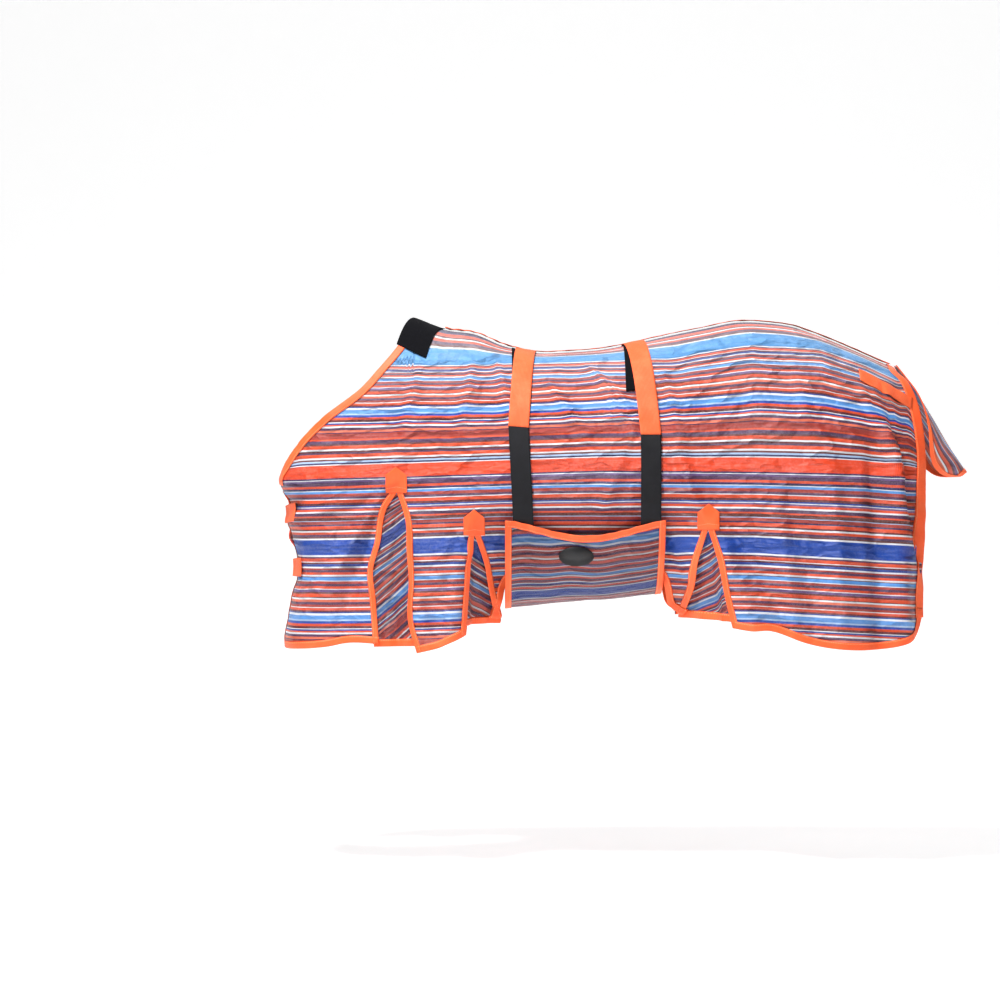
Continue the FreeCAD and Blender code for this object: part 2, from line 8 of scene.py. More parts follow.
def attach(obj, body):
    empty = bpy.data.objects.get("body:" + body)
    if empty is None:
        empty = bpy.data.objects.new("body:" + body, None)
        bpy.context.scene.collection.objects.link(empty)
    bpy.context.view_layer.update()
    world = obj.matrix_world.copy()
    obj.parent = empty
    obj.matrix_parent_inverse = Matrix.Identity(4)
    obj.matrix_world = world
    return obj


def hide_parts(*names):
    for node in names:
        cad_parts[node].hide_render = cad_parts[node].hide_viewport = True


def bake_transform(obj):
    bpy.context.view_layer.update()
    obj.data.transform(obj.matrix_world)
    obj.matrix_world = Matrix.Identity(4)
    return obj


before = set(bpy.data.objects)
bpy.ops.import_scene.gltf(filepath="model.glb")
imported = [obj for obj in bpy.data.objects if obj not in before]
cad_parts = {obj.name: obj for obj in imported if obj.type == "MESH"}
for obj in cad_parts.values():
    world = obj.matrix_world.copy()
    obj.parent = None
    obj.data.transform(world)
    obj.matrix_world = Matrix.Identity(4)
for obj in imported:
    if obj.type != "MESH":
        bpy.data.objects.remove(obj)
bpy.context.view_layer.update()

# the horse's shape under the cloth, in millimetres: -X to the head, -Y the near side, +Z up
body = {
    "halfWidth": 292.0, "chestHalf": 222.0, "shoulder": -275.0, "chestRun": 160.0,
    "tailHead": 1325.0, "low": -962.0, "tuckDepth": 287.0, "tuckShare": 0.58, "tuckRest": 0.5,
    "top": [(-475, -230), (-400, -90), (-300, 10), (-200, 44), (-100, 38), (9, 0), (100, -14),
            (177, -46), (276, -68), (376, -66), (473, -58), (584, -36), (670, -17), (770, 3),
            (864, 21), (963, 18), (1029, 8), (1094, -14), (1160, -40), (1225, -68),
            (1291, -97), (1325, -112), (1350, -135), (1375, -184), (1392, -236), (1412, -300)],
    "width": [(-275, 0.760), (-150, 0.805), (0, 0.897), (150, 0.960), (350, 1.0), (550, 1.0),
              (750, 0.976), (950, 0.969), (1100, 0.942), (1200, 0.863), (1300, 0.702),
              (1360, 0.548), (1412, 0.404)],
    "widest": [(-475, -520), (-250, -500), (0, -450), (300, -433), (600, -433), (900, -470),
               (1200, -490), (1412, -500)],
    "peak": [(-475, 1.0), (-200, 1.25), (0, 1.2), (250, 1.05), (600, 1.0), (1000, 0.95),
             (1300, 1.0), (1412, 1.0)],
    "chest": [(-960, -449), (-844, -449), (-778, -441), (-727, -423), (-667, -421), (-610, -437),
              (-573, -440), (-498, -447), (-485, -458), (-452, -472), (-400, -470), (-300, -440),
              (-100, -400), (100, -380)],
    "rear": [(-962, 1388), (-812, 1394), (-701, 1397), (-518, 1401), (-387, 1402), (-300, 1397),
             (-242, 1388), (-185, 1371), (-138, 1346), (-112, 1325)],
    "belly": [(180, -812), (310, -799), (400, -790), (507, -784), (600, -772), (650, -766)],
}
mm = 0.001
clothThick = 0.8


def through(points, x):  # a smooth line through given points
    last = len(points) - 1
    if x <= points[0][0]:
        return points[0][1]
    if x >= points[last][0]:
        return points[last][1]
    i = 0
    while x > points[i + 1][0]:
        i += 1
    x0, y0 = points[i]
    x1, y1 = points[i + 1]
    step = x1 - x0
    slope = (y1 - y0) / step
    before = (y0 - points[i - 1][1]) / (x0 - points[i - 1][0]) if i > 0 else slope
    after = (points[i + 2][1] - y1) / (points[i + 2][0] - x1) if i + 2 <= last else slope
    m0 = 0.5 * (before + slope)
    m1 = 0.5 * (after + slope)
    t = (x - x0) / step
    return ((2 * t**3 - 3 * t**2 + 1) * y0 + (t**3 - 2 * t**2 + t) * step * m0
            + (3 * t**2 - 2 * t**3) * y1 + (t**3 - t**2) * step * m1)


def straight(points, x):  # a straight-run line through given points
    if x <= points[0][0]:
        return points[0][1]
    for (x0, y0), (x1, y1) in zip(points, points[1:]):
        if x <= x1:
            return y0 + (y1 - y0) * (x - x0) / (x1 - x0)
    return points[-1][1]


def smooth(a, b, x):
    t = min(1.0, max(0.0, (x - a) / (b - a)))
    return t * t * (3 - 2 * t)


def fullHalf(x):
    front = body["chestHalf"] - body["width"][0][1] * body["halfWidth"]
    return through(body["width"], x) * body["halfWidth"] + front * (1.0 - smooth(body["shoulder"], 150.0, x))


def drawnIn(x):  # 0 where the cloth hangs free, 1 inside the belly wrap
    return smooth(20, 190, x) * (1.0 - smooth(638, 800, x))


def section(station, v):  # half width and height; v is 0 on the spine, 1 at the widest, 2 at the bottom
    top, wide = through(body["top"], station), through(body["widest"], station)
    width = fullHalf(max(station, body["shoulder"]))
    if v <= 1.0:
        angle = max(0.0, v) * math.pi / 2
        half = width * math.sin(angle) ** through(body["peak"], station)
        return half, wide + (top - wide) * math.cos(angle)
    z = wide + (v - 1.0) * (body["low"] - wide)
    drop = (wide - z) / body["tuckDepth"]
    flare = 1.0 + 0.03 * drop * (1.0 - drawnIn(station))
    bend = drop * drop
    if drop > 1.0:
        bend = 1.0 + body["tuckRest"] * (1.0 - math.exp(-2.0 * (drop - 1.0) / body["tuckRest"]))
    return width * (flare - body["tuckShare"] * drawnIn(station) * bend), z


run = body["tailHead"] - body["shoulder"]
chestTrack = 250.0  # the rounded chest counts as this much of the track
trackStart = body["shoulder"] - chestTrack


def leanOut(z):  # how far the rear edge leans out behind the tail head
    below = through(body["top"], body["tailHead"]) - z
    return max(0.0, through(body["rear"], z) - body["tailHead"]) * smooth(0.0, 40.0, below)


def bodyPoint(q, v):  # q runs round the near half: trackStart at mid chest, then X to the tail head
    if q < body["shoulder"]:
        turn = (q - trackStart) / chestTrack * math.pi / 2
        station = body["shoulder"] - (1.0 - math.sin(turn)) * body["chestRun"]
        half, z = section(station, v)
        nose = through(body["chest"], z)
        return Vector((nose + (body["shoulder"] - nose) * (1.0 - math.cos(turn)), -half * math.sin(turn), z))
    half, z = section(q, v)
    over = leanOut(z) * ((q - body["shoulder"]) / run) ** 10
    if over > 0.01:
        return Vector((q + over, -half * fullHalf(q + over) / fullHalf(q), z))
    return Vector((q, -half, z))


def outward(q, v):
    e = 0.02
    along = bodyPoint(min(body["tailHead"], q + 1), v) - bodyPoint(max(trackStart, q - 1), v)
    down = bodyPoint(q, min(2.0, v + e)) - bodyPoint(q, max(0.0, v - e))
    n = down.cross(along)
    if q <= trackStart + 0.5 or v <= 0.001:
        n.y = 0.0
    if n.length < 1e-6:
        n = Vector((-1, 0, 1))
    return n.normalized()


def trackAt(x, z):  # the side-view point's place (q, v) on the cloth
    shoulder = body["shoulder"]
    q = x
    if x < shoulder:
        nose = through(body["chest"], z)
        turn = math.acos(min(1.0, max(0.0, (shoulder - x) / (shoulder - nose))))
        station = shoulder - (1.0 - math.sin(turn)) * body["chestRun"]
        q = trackStart + turn / (math.pi / 2) * chestTrack
    else:
        over = leanOut(z)
        if x > 900 and over > 0:
            low, high = 800.0, body["tailHead"]
            for _ in range(22):
                q = 0.5 * (low + high)
                if q + over * ((q - shoulder) / run) ** 10 < x:
                    low = q
                else:
                    high = q
        station = q
    top, wide = through(body["top"], station), through(body["widest"], station)
    if z > wide:
        return q, math.acos(min(1.0, (z - wide) / (top - wide))) * 2 / math.pi
    return q, 1.0 + (wide - z) / (wide - body["low"])


# folds that hang in the cloth: (x, z) to (x, z), half width and height in millimetres
folds = {
    "near": [
        (-160, -470, -400, -860, 26, 11), (-140, -455, -430, -560, 16, 6),
        (-150, -430, -420, -440, 15, 5), (-190, -560, -300, -900, 22, -8),
        (-110, -540, -40, -900, 22, 9), (60, -560, -20, -880, 24, -7), (110, -620, 20, -700, 15, 5),
        (420, -110, 560, -250, 12, 6), (450, -160, 570, -330, 11, 5), (440, -230, 560, -300, 9, 4),
        (300, -150, 420, -330, 15, 4), (560, -260, 470, -500, 14, 5), (640, -120, 700, -420, 17, 5),
        (650, -320, 760, -560, 15, 6), (780, -560, 880, -840, 26, 9), (800, -540, 1000, -860, 30, -7),
        (960, -500, 1010, -880, 30, 8), (1120, -430, 1150, -900, 34, 9),
        (1230, -300, 1260, -880, 28, -9), (1290, -210, 1330, -860, 24, 10),
        (1200, -160, 1320, -420, 16, 6), (100, -70, 60, -300, 16, 4), (150, -60, 200, -260, 13, 4),
        (-60, -120, -130, -400, 22, 6), (640, -560, 700, -700, 14, 6), (-20, -300, 80, -560, 20, 4),
        (1010, -120, 1060, -300, 18, 3), (1272, -180, 1376, -640, 10, -9),
        (1246, -180, 1350, -640, 13, 6)],
    "off": [
        (-150, -470, -390, -860, 26, 10), (-140, -450, -420, -600, 16, 6),
        (-190, -560, -290, -900, 22, -8), (-110, -540, -30, -900, 22, 9), (60, -560, -10, -880, 24, -7),
        (400, -150, 560, -270, 13, 5), (250, -200, 330, -480, 20, 5), (650, -300, 740, -560, 15, 6),
        (780, -560, 900, -840, 26, 9), (960, -480, 1020, -880, 30, 8), (1110, -400, 1160, -900, 34, 9),
        (1230, -300, 1250, -880, 28, -9), (1290, -230, 1340, -860, 24, 10),
        (-60, -120, -130, -400, 22, 6), (860, -260, 980, -520, 24, 5)],
}
drape = {"ripple": 7.0, "crumple": 5.5, "fine": 1.6, "strength": 2.1}


def foldLift(x, z, side):  # how far the folds stand out there, in millimetres
    total = 0.0
    for x0, z0, x1, z1, wide, high in folds[side]:
        dx, dz = x1 - x0, z1 - z0
        size = math.hypot(dx, dz)
        t = ((x - x0) * dx + (z - z0) * dz) / (size * size)
        if t < -0.15 or t > 1.3:
            continue
        away = abs((x - x0) * dz - (z - z0) * dx) / size
        spread = wide * (0.6 + 0.7 * min(1.0, max(0.0, t)))
        if away > 3 * spread:
            continue
        rise = smooth(-0.15, 0.35, t) * (1.0 - smooth(1.0, 1.3, t))
        total += drape["strength"] * high * rise * math.exp(-(away / spread) ** 2)
    low = smooth(-480, -900, z)
    phase = 0.0 if side == "near" else 2.1
    total += low * drape["ripple"] * math.sin(x / 47.0 + phase + 0.8 * math.sin(x / 131.0))
    spot = Vector((x / 85.0, z / 150.0, phase))
    total += drape["crumple"] * noise.noise(spot)
    total += drape["fine"] * noise.noise(spot * 4.3)
    hold = smooth(-20, -70, z - through(body["top"], x))  # pressed flat along the spine
    held = 1.0 - 0.75 * drawnIn(x) * smooth(-500, -560, z)
    return total * hold * held


def clothAt(q, v, side="near", lift=0.0, ripple=1.0):
    p = bodyPoint(q, v)
    out = lift
    if ripple:
        out += ripple * foldLift(p.x, p.z, side)
    p = p + outward(q, v) * out
    if p.y > 0 or q <= trackStart + 0.5:
        p.y = 0.0
    if side == "off":
        p.y = -p.y
    return p * mm


def cloth(x, z, side="near", lift=0.0, ripple=1.0):
    q, v = trackAt(x, z)
    return clothAt(q, v, side, lift, ripple)


# where three stripes run along the sheet, to lay the woven pattern: (x, z)
stripeLines = {
    "blue": [(37, -100), (342, -91), (684, -78), (898, -40), (1097, -51), (1225, -95), (1325, -142)],
    "orange": [(-399, -425), (171, -408), (456, -399), (898, -402), (1225, -408), (1354, -422)],
    "lowBlue": [(-399, -636), (-57, -630), (171, -621), (898, -627), (1225, -647), (1354, -656)],
}
levels = {"top": -67, "blue": -91, "orange": -399, "lowBlue": -627}  # their heights on a plain barrel
barrel = {"wide": 292.0, "high": 367.0, "mid": -433.0}


def barrelRun(z):  # how far round the barrel from the spine a height is, in millimetres
    if z < barrel["mid"]:
        return barrelQuarter + barrel["mid"] - z
    angle = math.acos(min(1.0, (z - barrel["mid"]) / barrel["high"]))
    total, steps = 0.0, 24
    for i in range(steps):
        a = angle * (i + 0.5) / steps
        total += math.hypot(barrel["wide"] * math.cos(a), barrel["high"] * math.sin(a)) * angle / steps
    return total


barrelQuarter = 0.0
barrelQuarter = barrelRun(barrel["mid"])
runTable = [(z, barrelRun(z)) for z in range(-1000, -65, 5)]


def weaveRun(x, z):  # cloth distance from the spine seam at a side-view point
    top = through(body["top"], x)
    z1, z2, z3 = (straight(stripeLines[k], x) for k in ("blue", "orange", "lowBlue"))
    z1 = min(z1, top - 8)
    if z < z3:
        level = levels["lowBlue"] - (z3 - z)
    else:
        marks = [(z3, levels["lowBlue"]), (z2, levels["orange"]), (z1, levels["blue"]), (top, levels["top"]),
                 (900, 700)]
        level = straight(marks, z)
    return straight(runTable, level)


def meshPiece(name, bm):
    mesh = bpy.data.meshes.new(name)
    bm.to_mesh(mesh)
    bm.free()
    mesh.polygons.foreach_set("use_smooth", [True] * len(mesh.polygons))
    piece = bpy.data.objects.new(name, mesh)
    bpy.context.collection.objects.link(piece)
    return piece


def laidGrid(bm, columns, rows, place):  # place(a, b) gives each point and its (u, v) on the weave
    made = bmesh.ops.create_grid(bm, x_segments=columns, y_segments=rows, size=0.5)["verts"]
    weave = bm.loops.layers.uv.get("UVMap") or bm.loops.layers.uv.new("UVMap")
    spots = {}
    for vert in made:
        a, b = vert.co.x + 0.5, vert.co.y + 0.5
        vert.co, spots[vert] = place(a, b)
    for face in {f for vert in made for f in vert.link_faces}:
        for loop in face.loops:
            loop[weave].uv = spots[loop.vert]
    return made


def thicken(piece, thickness, offset=0.0):
    wall = piece.modifiers.new("Thickness", "SOLIDIFY")
    wall.thickness = thickness
    wall.offset = offset
    wall.use_rim = True


def pointOutwards(bm, outer):  # turn the faces so that the first one looks the way outer says
    bm.normal_update()
    faces = list(bm.faces)
    total = sum(face.normal.dot(outer(face.calc_center_median())) for face in faces)
    if total < 0:
        bmesh.ops.reverse_faces(bm, faces=faces)


def fromBarrel(p):
    return Vector((0.25 * (p.x - 0.45), p.y, p.z + 0.45))


def dress(piece, material, ridesOn, slot, *nodes):
    piece.data.materials.append(material)
    if isinstance(ridesOn, str):
        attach(piece, ridesOn)
    if nodes:
        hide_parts(*nodes)
    return piece


# colours and materials
def tone(red, green, blue):
    def linear(c):
        c /= 255.0
        return c / 12.92 if c <= 0.04045 else ((c + 0.055) / 1.055) ** 2.4
    return linear(red), linear(green), linear(blue), 1.0


yarn = {
    "royal": tone(4, 72, 176), "blue": tone(14, 68, 160), "pale": tone(176, 206, 244),
    "white": tone(244, 246, 252), "navy": tone(38, 34, 92), "plum": tone(88, 54, 92),
    "purple": tone(112, 84, 140), "maroon": tone(104, 32, 34), "brick": tone(178, 58, 42),
    "brown": tone(112, 50, 42), "orange": tone(240, 80, 26), "coral": tone(242, 116, 80),
    "flame": tone(252, 74, 16), "sky": tone(86, 158, 234),
}
# one repeat of the weave, from the middle of the wide blue stripe, in millimetres of cloth
stripes = [
    ("royal", 22), ("white", 4), ("plum", 7), ("orange", 8), ("white", 3), ("maroon", 5), ("blue", 6),
    ("white", 4), ("brick", 7), ("plum", 5), ("orange", 9), ("white", 3), ("brown", 4), ("sky", 8),
    ("white", 3), ("brick", 8), ("plum", 7), ("orange", 5), ("white", 3), ("purple", 7), ("brown", 6),
    ("orange", 8), ("maroon", 4), ("white", 4), ("coral", 7), ("plum", 8), ("brick", 5), ("white", 3),
    ("orange", 7), ("maroon", 6), ("blue", 4), ("white", 4), ("sky", 13), ("pale", 4), ("royal", 8),
    ("orange", 7), ("maroon", 6), ("white", 3), ("blue", 4), ("orange", 6), ("white", 3), ("plum", 8),
    ("coral", 6), ("navy", 4), ("brick", 16), ("orange", 5), ("plum", 9), ("brown", 5), ("orange", 9),
    ("white", 4), ("maroon", 6), ("plum", 5), ("orange", 10), ("white", 3), ("brown", 6), ("pale", 3),
    ("navy", 5), ("white", 4), ("flame", 37), ("navy", 4), ("white", 2), ("purple", 8), ("plum", 10),
    ("orange", 6), ("navy", 8), ("white", 3), ("sky", 6), ("brick", 9), ("plum", 8), ("white", 3),
    ("orange", 8), ("maroon", 7), ("blue", 4), ("white", 4), ("purple", 5), ("orange", 6), ("white", 4),
    ("plum", 11), ("orange", 5), ("brown", 8), ("pale", 3), ("brick", 9), ("navy", 6), ("orange", 8),
    ("maroon", 6), ("white", 3), ("orange", 7), ("plum", 8), ("brown", 6), ("white", 4), ("royal", 22)]
repeat = sum(width for _, width in stripes)
blueAt = 108.0  # cloth distance from the spine seam to the middle of the first blue stripe


class Value:  # a socket that can be used in sums
    def __init__(self, maker, socket):
        self.maker, self.socket = maker, socket

    def math(self, operation, other=None, swap=False):
        first, second = (other, self) if swap else (self, other)
        return self.maker.node("ShaderNodeMath", {"operation": operation}, {0: first, 1: second})

    def __add__(self, other):
        return self.math("ADD", other)

    def __radd__(self, other):
        return self.math("ADD", other, True)

    def __sub__(self, other):
        return self.math("SUBTRACT", other)

    def __rsub__(self, other):
        return self.math("SUBTRACT", other, True)

    def __mul__(self, other):
        return self.math("MULTIPLY", other)

    def __rmul__(self, other):
        return self.math("MULTIPLY", other, True)

    def __truediv__(self, other):
        return self.math("DIVIDE", other)


class Maker:  # one material's nodes
    def __init__(self, name, **fixed):
        self.material = bpy.data.materials.new(name)
        self.material.use_nodes = True
        self.tree = self.material.node_tree
        self.shader = self.tree.nodes["Principled BSDF"]
        for socket, amount in fixed.items():
            self.shader.inputs[socket.replace("_", " ")].default_value = amount

    def node(self, kind, settings=None, inputs=None, out=0):
        made = self.tree.nodes.new(kind)
        for key, amount in (settings or {}).items():
            if key == "stops":
                ramp = made.color_ramp
                ramp.interpolation = "CONSTANT" if settings.get("hard") else "LINEAR"
                while len(ramp.elements) > 1:
                    ramp.elements.remove(ramp.elements[-1])
                for i, (place, colour) in enumerate(amount):
                    element = ramp.elements[0] if i == 0 else ramp.elements.new(place)
                    element.position = place
                    element.color = colour
            elif key != "hard":
                setattr(made, key, amount)
        for key, amount in (inputs or {}).items():
            if amount is None:
                continue
            if isinstance(amount, Value):
                self.tree.links.new(amount.socket, made.inputs[key])
            else:
                made.inputs[key].default_value = amount
        return Value(self, made.outputs[out])

    def mix(self, factor, first, second, blend="MIX"):
        return self.node("ShaderNodeMix", {"data_type": "RGBA", "blend_type": blend},
                         {0: factor, 6: first, 7: second}, 2)

    def feed(self, socket, value):
        self.tree.links.new(value.socket, self.shader.inputs[socket])

    def bump(self, height, strength, distance):
        self.feed("Normal", self.node("ShaderNodeBump", {}, {"Strength": strength, "Distance": distance,
                                                             "Height": height}))

    def weaveSpot(self):  # (along, round) on the cloth in metres
        spot = self.node("ShaderNodeUVMap", {"uv_map": "UVMap"})
        parts = self.node("ShaderNodeSeparateXYZ", {}, {0: spot})
        return parts, Value(self, parts.socket.node.outputs[1]), spot

    def noise(self, scale, detail=2.0, vector=None, stretch=None):
        place = vector or self.node("ShaderNodeTexCoord", {}, {}, 3)
        if stretch:
            place = self.node("ShaderNodeMapping", {}, {0: place, 3: stretch})
        return self.node("ShaderNodeTexNoise", {}, {"Vector": place, "Scale": scale, "Detail": detail}, 0)


def sine(value, pitch):  # 0 to 1 and back in each pitch
    return (value * (2 * math.pi / pitch)).math("SINE") * 0.5 + 0.5


paleWashAndTopLight = (0.85, 0.85, 0.86, 1)
# painted top light on the back: how far round from the spine it reaches, the width of the wide royal stripe
# it turns light blue, that lit blue, and how much paler it washes the back
topLight = {"reach": 0.32, "band": 22.0, "blue": tone(38, 152, 226), "share": 0.2}


def stripedMesh(name, shade):  # shade darkens cloth that lies in a hollow or under the belly
    m = Maker(name, Specular_IOR_Level=0.5)
    along, round_, spot = m.weaveSpot()
    wobble = m.noise(9.0, 2.0, spot)
    phase = (round_ * (1000.0 / repeat) - blueAt / repeat + (wobble - 0.5) * 0.0014).math("FRACT")
    edges, total = [], 0.0
    for colour, width in stripes:
        edges.append((total / repeat, yarn[colour]))
        total += width
    most = 31  # stops that one ramp can hold
    colour = None
    for start in range(0, len(edges), most):
        group = edges[start:start + most]
        stops = [(0.0, group[0][1])] + group[1:]
        ramp = m.node("ShaderNodeValToRGB", {"hard": True, "stops": stops}, {0: phase})
        colour = m.mix(phase.math("GREATER_THAN", group[0][0]), colour, ramp) if colour else ramp
    lit = (1.0 - round_ * (1.0 / topLight["reach"])).math("MAXIMUM", 0.0)  # painted top light: the back is paler than the sides
    band = (phase - 0.5).math("ABSOLUTE").math("GREATER_THAN", 0.5 - topLight["band"] / repeat)
    # painted top light: on the back the wide royal stripe turns a lighter blue and the cloth is washed paler
    colour = m.mix(band * lit.math("GREATER_THAN", 0.0), colour, topLight["blue"])
    colour = m.mix(lit * topLight["share"], colour, paleWashAndTopLight)
    threads = sine(along, 0.0022) * sine(round_, 0.0022)
    warp = sine(round_, 0.0019)
    fade = m.noise(2.6, 3.0)
    dusty = m.noise(160.0, 2.0)
    streak = m.noise(30.0, 3.0, spot, (0.12, 6.0, 1.0))
    colour = m.mix((1 - threads) * 0.28, colour, (0.012, 0.008, 0.02, 1))
    wash = (fade - 0.45) * 0.22 + (dusty - 0.5) * 0.14 + (streak - 0.5) * 0.2
    colour = m.mix(wash, colour, paleWashAndTopLight)
    colour = m.mix(shade + fade * 0.1, colour, (0.02, 0.012, 0.03, 1))
    m.feed("Base Color", colour)
    m.feed("Roughness", 0.34 + fade * 0.3)
    m.feed("Alpha", 0.97 - (1 - threads) * (1 - warp) * 0.3)
    valley = (m.noise(5.5, 3.0, spot, (1.0, 2.2, 1.0)) - 0.5).math("ABSOLUTE")
    crease = 1.0 - (valley * 9.0).math("MINIMUM", 1.0)
    m.bump(crease * 3.0 + m.noise(16.0, 3.0, spot) * 2.6 + threads * 0.12 + warp * 0.06, 0.8, 0.0060)
    return m.material


def tapeMaterial(name, shade, deep, width, pitch=0.0035):
    m = Maker(name, Roughness=0.55, Specular_IOR_Level=0.35)
    along, across, spot = m.weaveSpot()
    rib = sine(along, pitch)
    grain = m.noise(140.0, 3.0)
    palePatches = m.noise(14.0, 3.0)
    stitch = 1.0 - ((across - (width - 0.0035)).math("ABSOLUTE") * 900.0).math("MINIMUM", 1.0)
    dash = (sine(along, 0.0046) - 0.25).math("MULTIPLY", 4.0).math("MINIMUM", 1.0).math("MAXIMUM", 0.0)
    thread = stitch * dash
    colour = m.mix(rib * 0.25 + (grain - 0.5) * 0.4, shade, deep)
    # painted highlights: random paler patches in the colour the orange tape takes where the light catches it
    colour = m.mix((palePatches - 0.4) * 0.5, colour, tone(255, 150, 96))
    colour = m.mix(thread * 0.8, colour, tone(255, 170, 120))
    m.feed("Base Color", colour)
    m.bump(rib * 0.5 + grain * 0.4 + thread * 1.5 - stitch * 0.8, 0.5, 0.0008)
    return m.material


def webbingMaterial():
    m = Maker("orangeWebbing", Roughness=0.6, Specular_IOR_Level=0.3)
    along, across, spot = m.weaveSpot()
    cords = sine(across, 0.0036)
    pick = sine(along + across * 0.5, 0.0024)
    palePatches = m.noise(20.0, 3.0)
    grain = m.noise(220.0, 2.0)
    colour = m.mix((1 - cords) * 0.3 + pick * 0.14, tone(247, 100, 50), tone(190, 50, 20))
    # painted highlights: random paler patches in the colour the lit orange takes, plus a fine random grain
    colour = m.mix((palePatches - 0.42) * 0.5 + (grain - 0.5) * 0.2, colour, tone(255, 160, 110))
    m.feed("Base Color", colour)
    m.bump(cords + pick * 0.5, 0.5, 0.0008)
    return m.material


def elasticMaterial():
    m = Maker("blackElastic", Roughness=0.6, Specular_IOR_Level=0.25)
    along, across, spot = m.weaveSpot()
    cords = sine(across, 0.003)
    knit = sine(along, 0.0016)
    palePatches = m.noise(30.0, 3.0)
    colour = m.mix(cords * 0.5 + knit * 0.2, tone(3, 3, 5), tone(15, 15, 24))
    colour = m.mix((palePatches - 0.45) * 0.3, colour, tone(34, 33, 50))
    m.feed("Base Color", colour)
    m.bump(cords + knit * 0.5, 0.6, 0.0009)
    return m.material


def pileMaterial():
    m = Maker("loopPile", Roughness=0.95, Specular_IOR_Level=0.12)
    fuzz = m.noise(900.0, 3.0)
    clump = m.noise(90.0, 4.0)
    colour = m.mix(fuzz * 0.6 + (clump - 0.5) * 0.5, tone(3, 3, 4), tone(18, 18, 25))
    m.feed("Base Color", colour)
    m.bump(fuzz + clump * 0.6, 0.7, 0.0012)
    return m.material


def badgeMaterial():
    m = Maker("badgeRubber", Roughness=0.45, Specular_IOR_Level=0.4)
    fine = m.noise(400.0, 2.0)
    colour = m.mix(fine * 0.5, tone(7, 7, 9), tone(20, 19, 24))
    m.feed("Base Color", colour)
    m.bump(fine, 0.3, 0.0005)
    return m.material


widths = {"neck": 21.0, "hem": 20.0, "rear": 26.0, "slit": 16.0, "front": 16.0, "spine": 18.0, "wrap": 18.0,
          "flap": 14.0}
# the two darker copies of the striped cloth carry painted shade: one for the belly wrap, one inside the
# gussets
finish = {"mesh": stripedMesh("stripedMesh", 0.0), "shadedWrapMesh": stripedMesh("shadedMesh", 0.5),
          "shadedGussetMesh": stripedMesh("shadedGussetMesh", 0.4), "web": webbingMaterial(),
          "elastic": elasticMaterial(), "pile": pileMaterial(), "badge": badgeMaterial()}
for key, width in widths.items():
    finish[key] = tapeMaterial(key + "Binding", tone(250, 92, 40), tone(205, 58, 22), width * mm)
finish["patch"] = tapeMaterial("patchTwill", tone(246, 88, 38), tone(200, 54, 22), 0.06, 0.0026)
print("materials ready")


# the outline of each side, head end first, (x, z) seen from the side
neckEdge = [(-84, 22), (-104, -18), (-125, -54), (-180, -122), (-237, -184), (-333, -257), (-399, -322),
            (-439, -373), (-463, -415), (-474, -452)]
hems = [[(-449, -929), (-436, -929), (-340, -920), (-256, -906), (-174, -909)],
        [(-66, -935), (0, -918), (68, -884)],
        [(160, -846), (177, -795), (190, -742), (228, -702), (600, -700), (630, -712), (648, -748),
         (664, -806), (701, -832)],
        [(829, -862), (883, -871), (936, -870), (1040, -905), (1126, -922), (1224, -926), (1310, -917),
         (1358, -893), (1382, -856), (1392, -812)]]
slits = [("front", [(-124, -476), (-156, -530), (-171, -621), (-191, -700), (-184, -778), (-174, -909)],
          [(-124, -476), (-98, -556), (-90, -648), (-86, -720), (-92, -838), (-66, -935)]),
         ("middle", [(97, -596), (84, -687), (78, -778), (68, -884)],
          [(97, -596), (124, -675), (140, -760), (160, -846)]),
         ("rear", [(762, -580), (736, -668), (727, -747), (701, -832)],
          [(762, -580), (789, -675), (806, -767), (829, -862)])]


def dense(points, step=14.0, curve=True):  # points along a line, evenly spread
    marks = [0.0]
    for a, b in zip(points, points[1:]):
        marks.append(marks[-1] + math.hypot(b[0] - a[0], b[1] - a[1]))
    line = through if curve else straight
    xs = [(m, p[0]) for m, p in zip(marks, points)]
    zs = [(m, p[1]) for m, p in zip(marks, points)]
    count = max(2, int(marks[-1] / step))
    return [(line(xs, marks[-1] * i / count), line(zs, marks[-1] * i / count)) for i in range(count + 1)]


def onTrack(points):
    return [trackAt(x, z) for x, z in dense(points)]


neckTrack = sorted(onTrack(neckEdge))
spineStart = -80.0


def topV(q):  # where the cloth starts below the neck edge, or on the spine
    if q >= spineStart:
        return 0.0
    return max(0.0, straight(neckTrack, q))


apexes = [trackAt(*fore[0]) for _, fore, _ in slits]
rowsAbove, rowsBelow = 46, 44


def middleV(q):
    return straight(apexes, q)


def byV(points):
    return sorted((v, q) for q, v in onTrack(points))


sidesOfStrip = [(None, 0), (0, 1), (1, 2), (2, None)]
stripColumns = [34, 22, 62, 60]


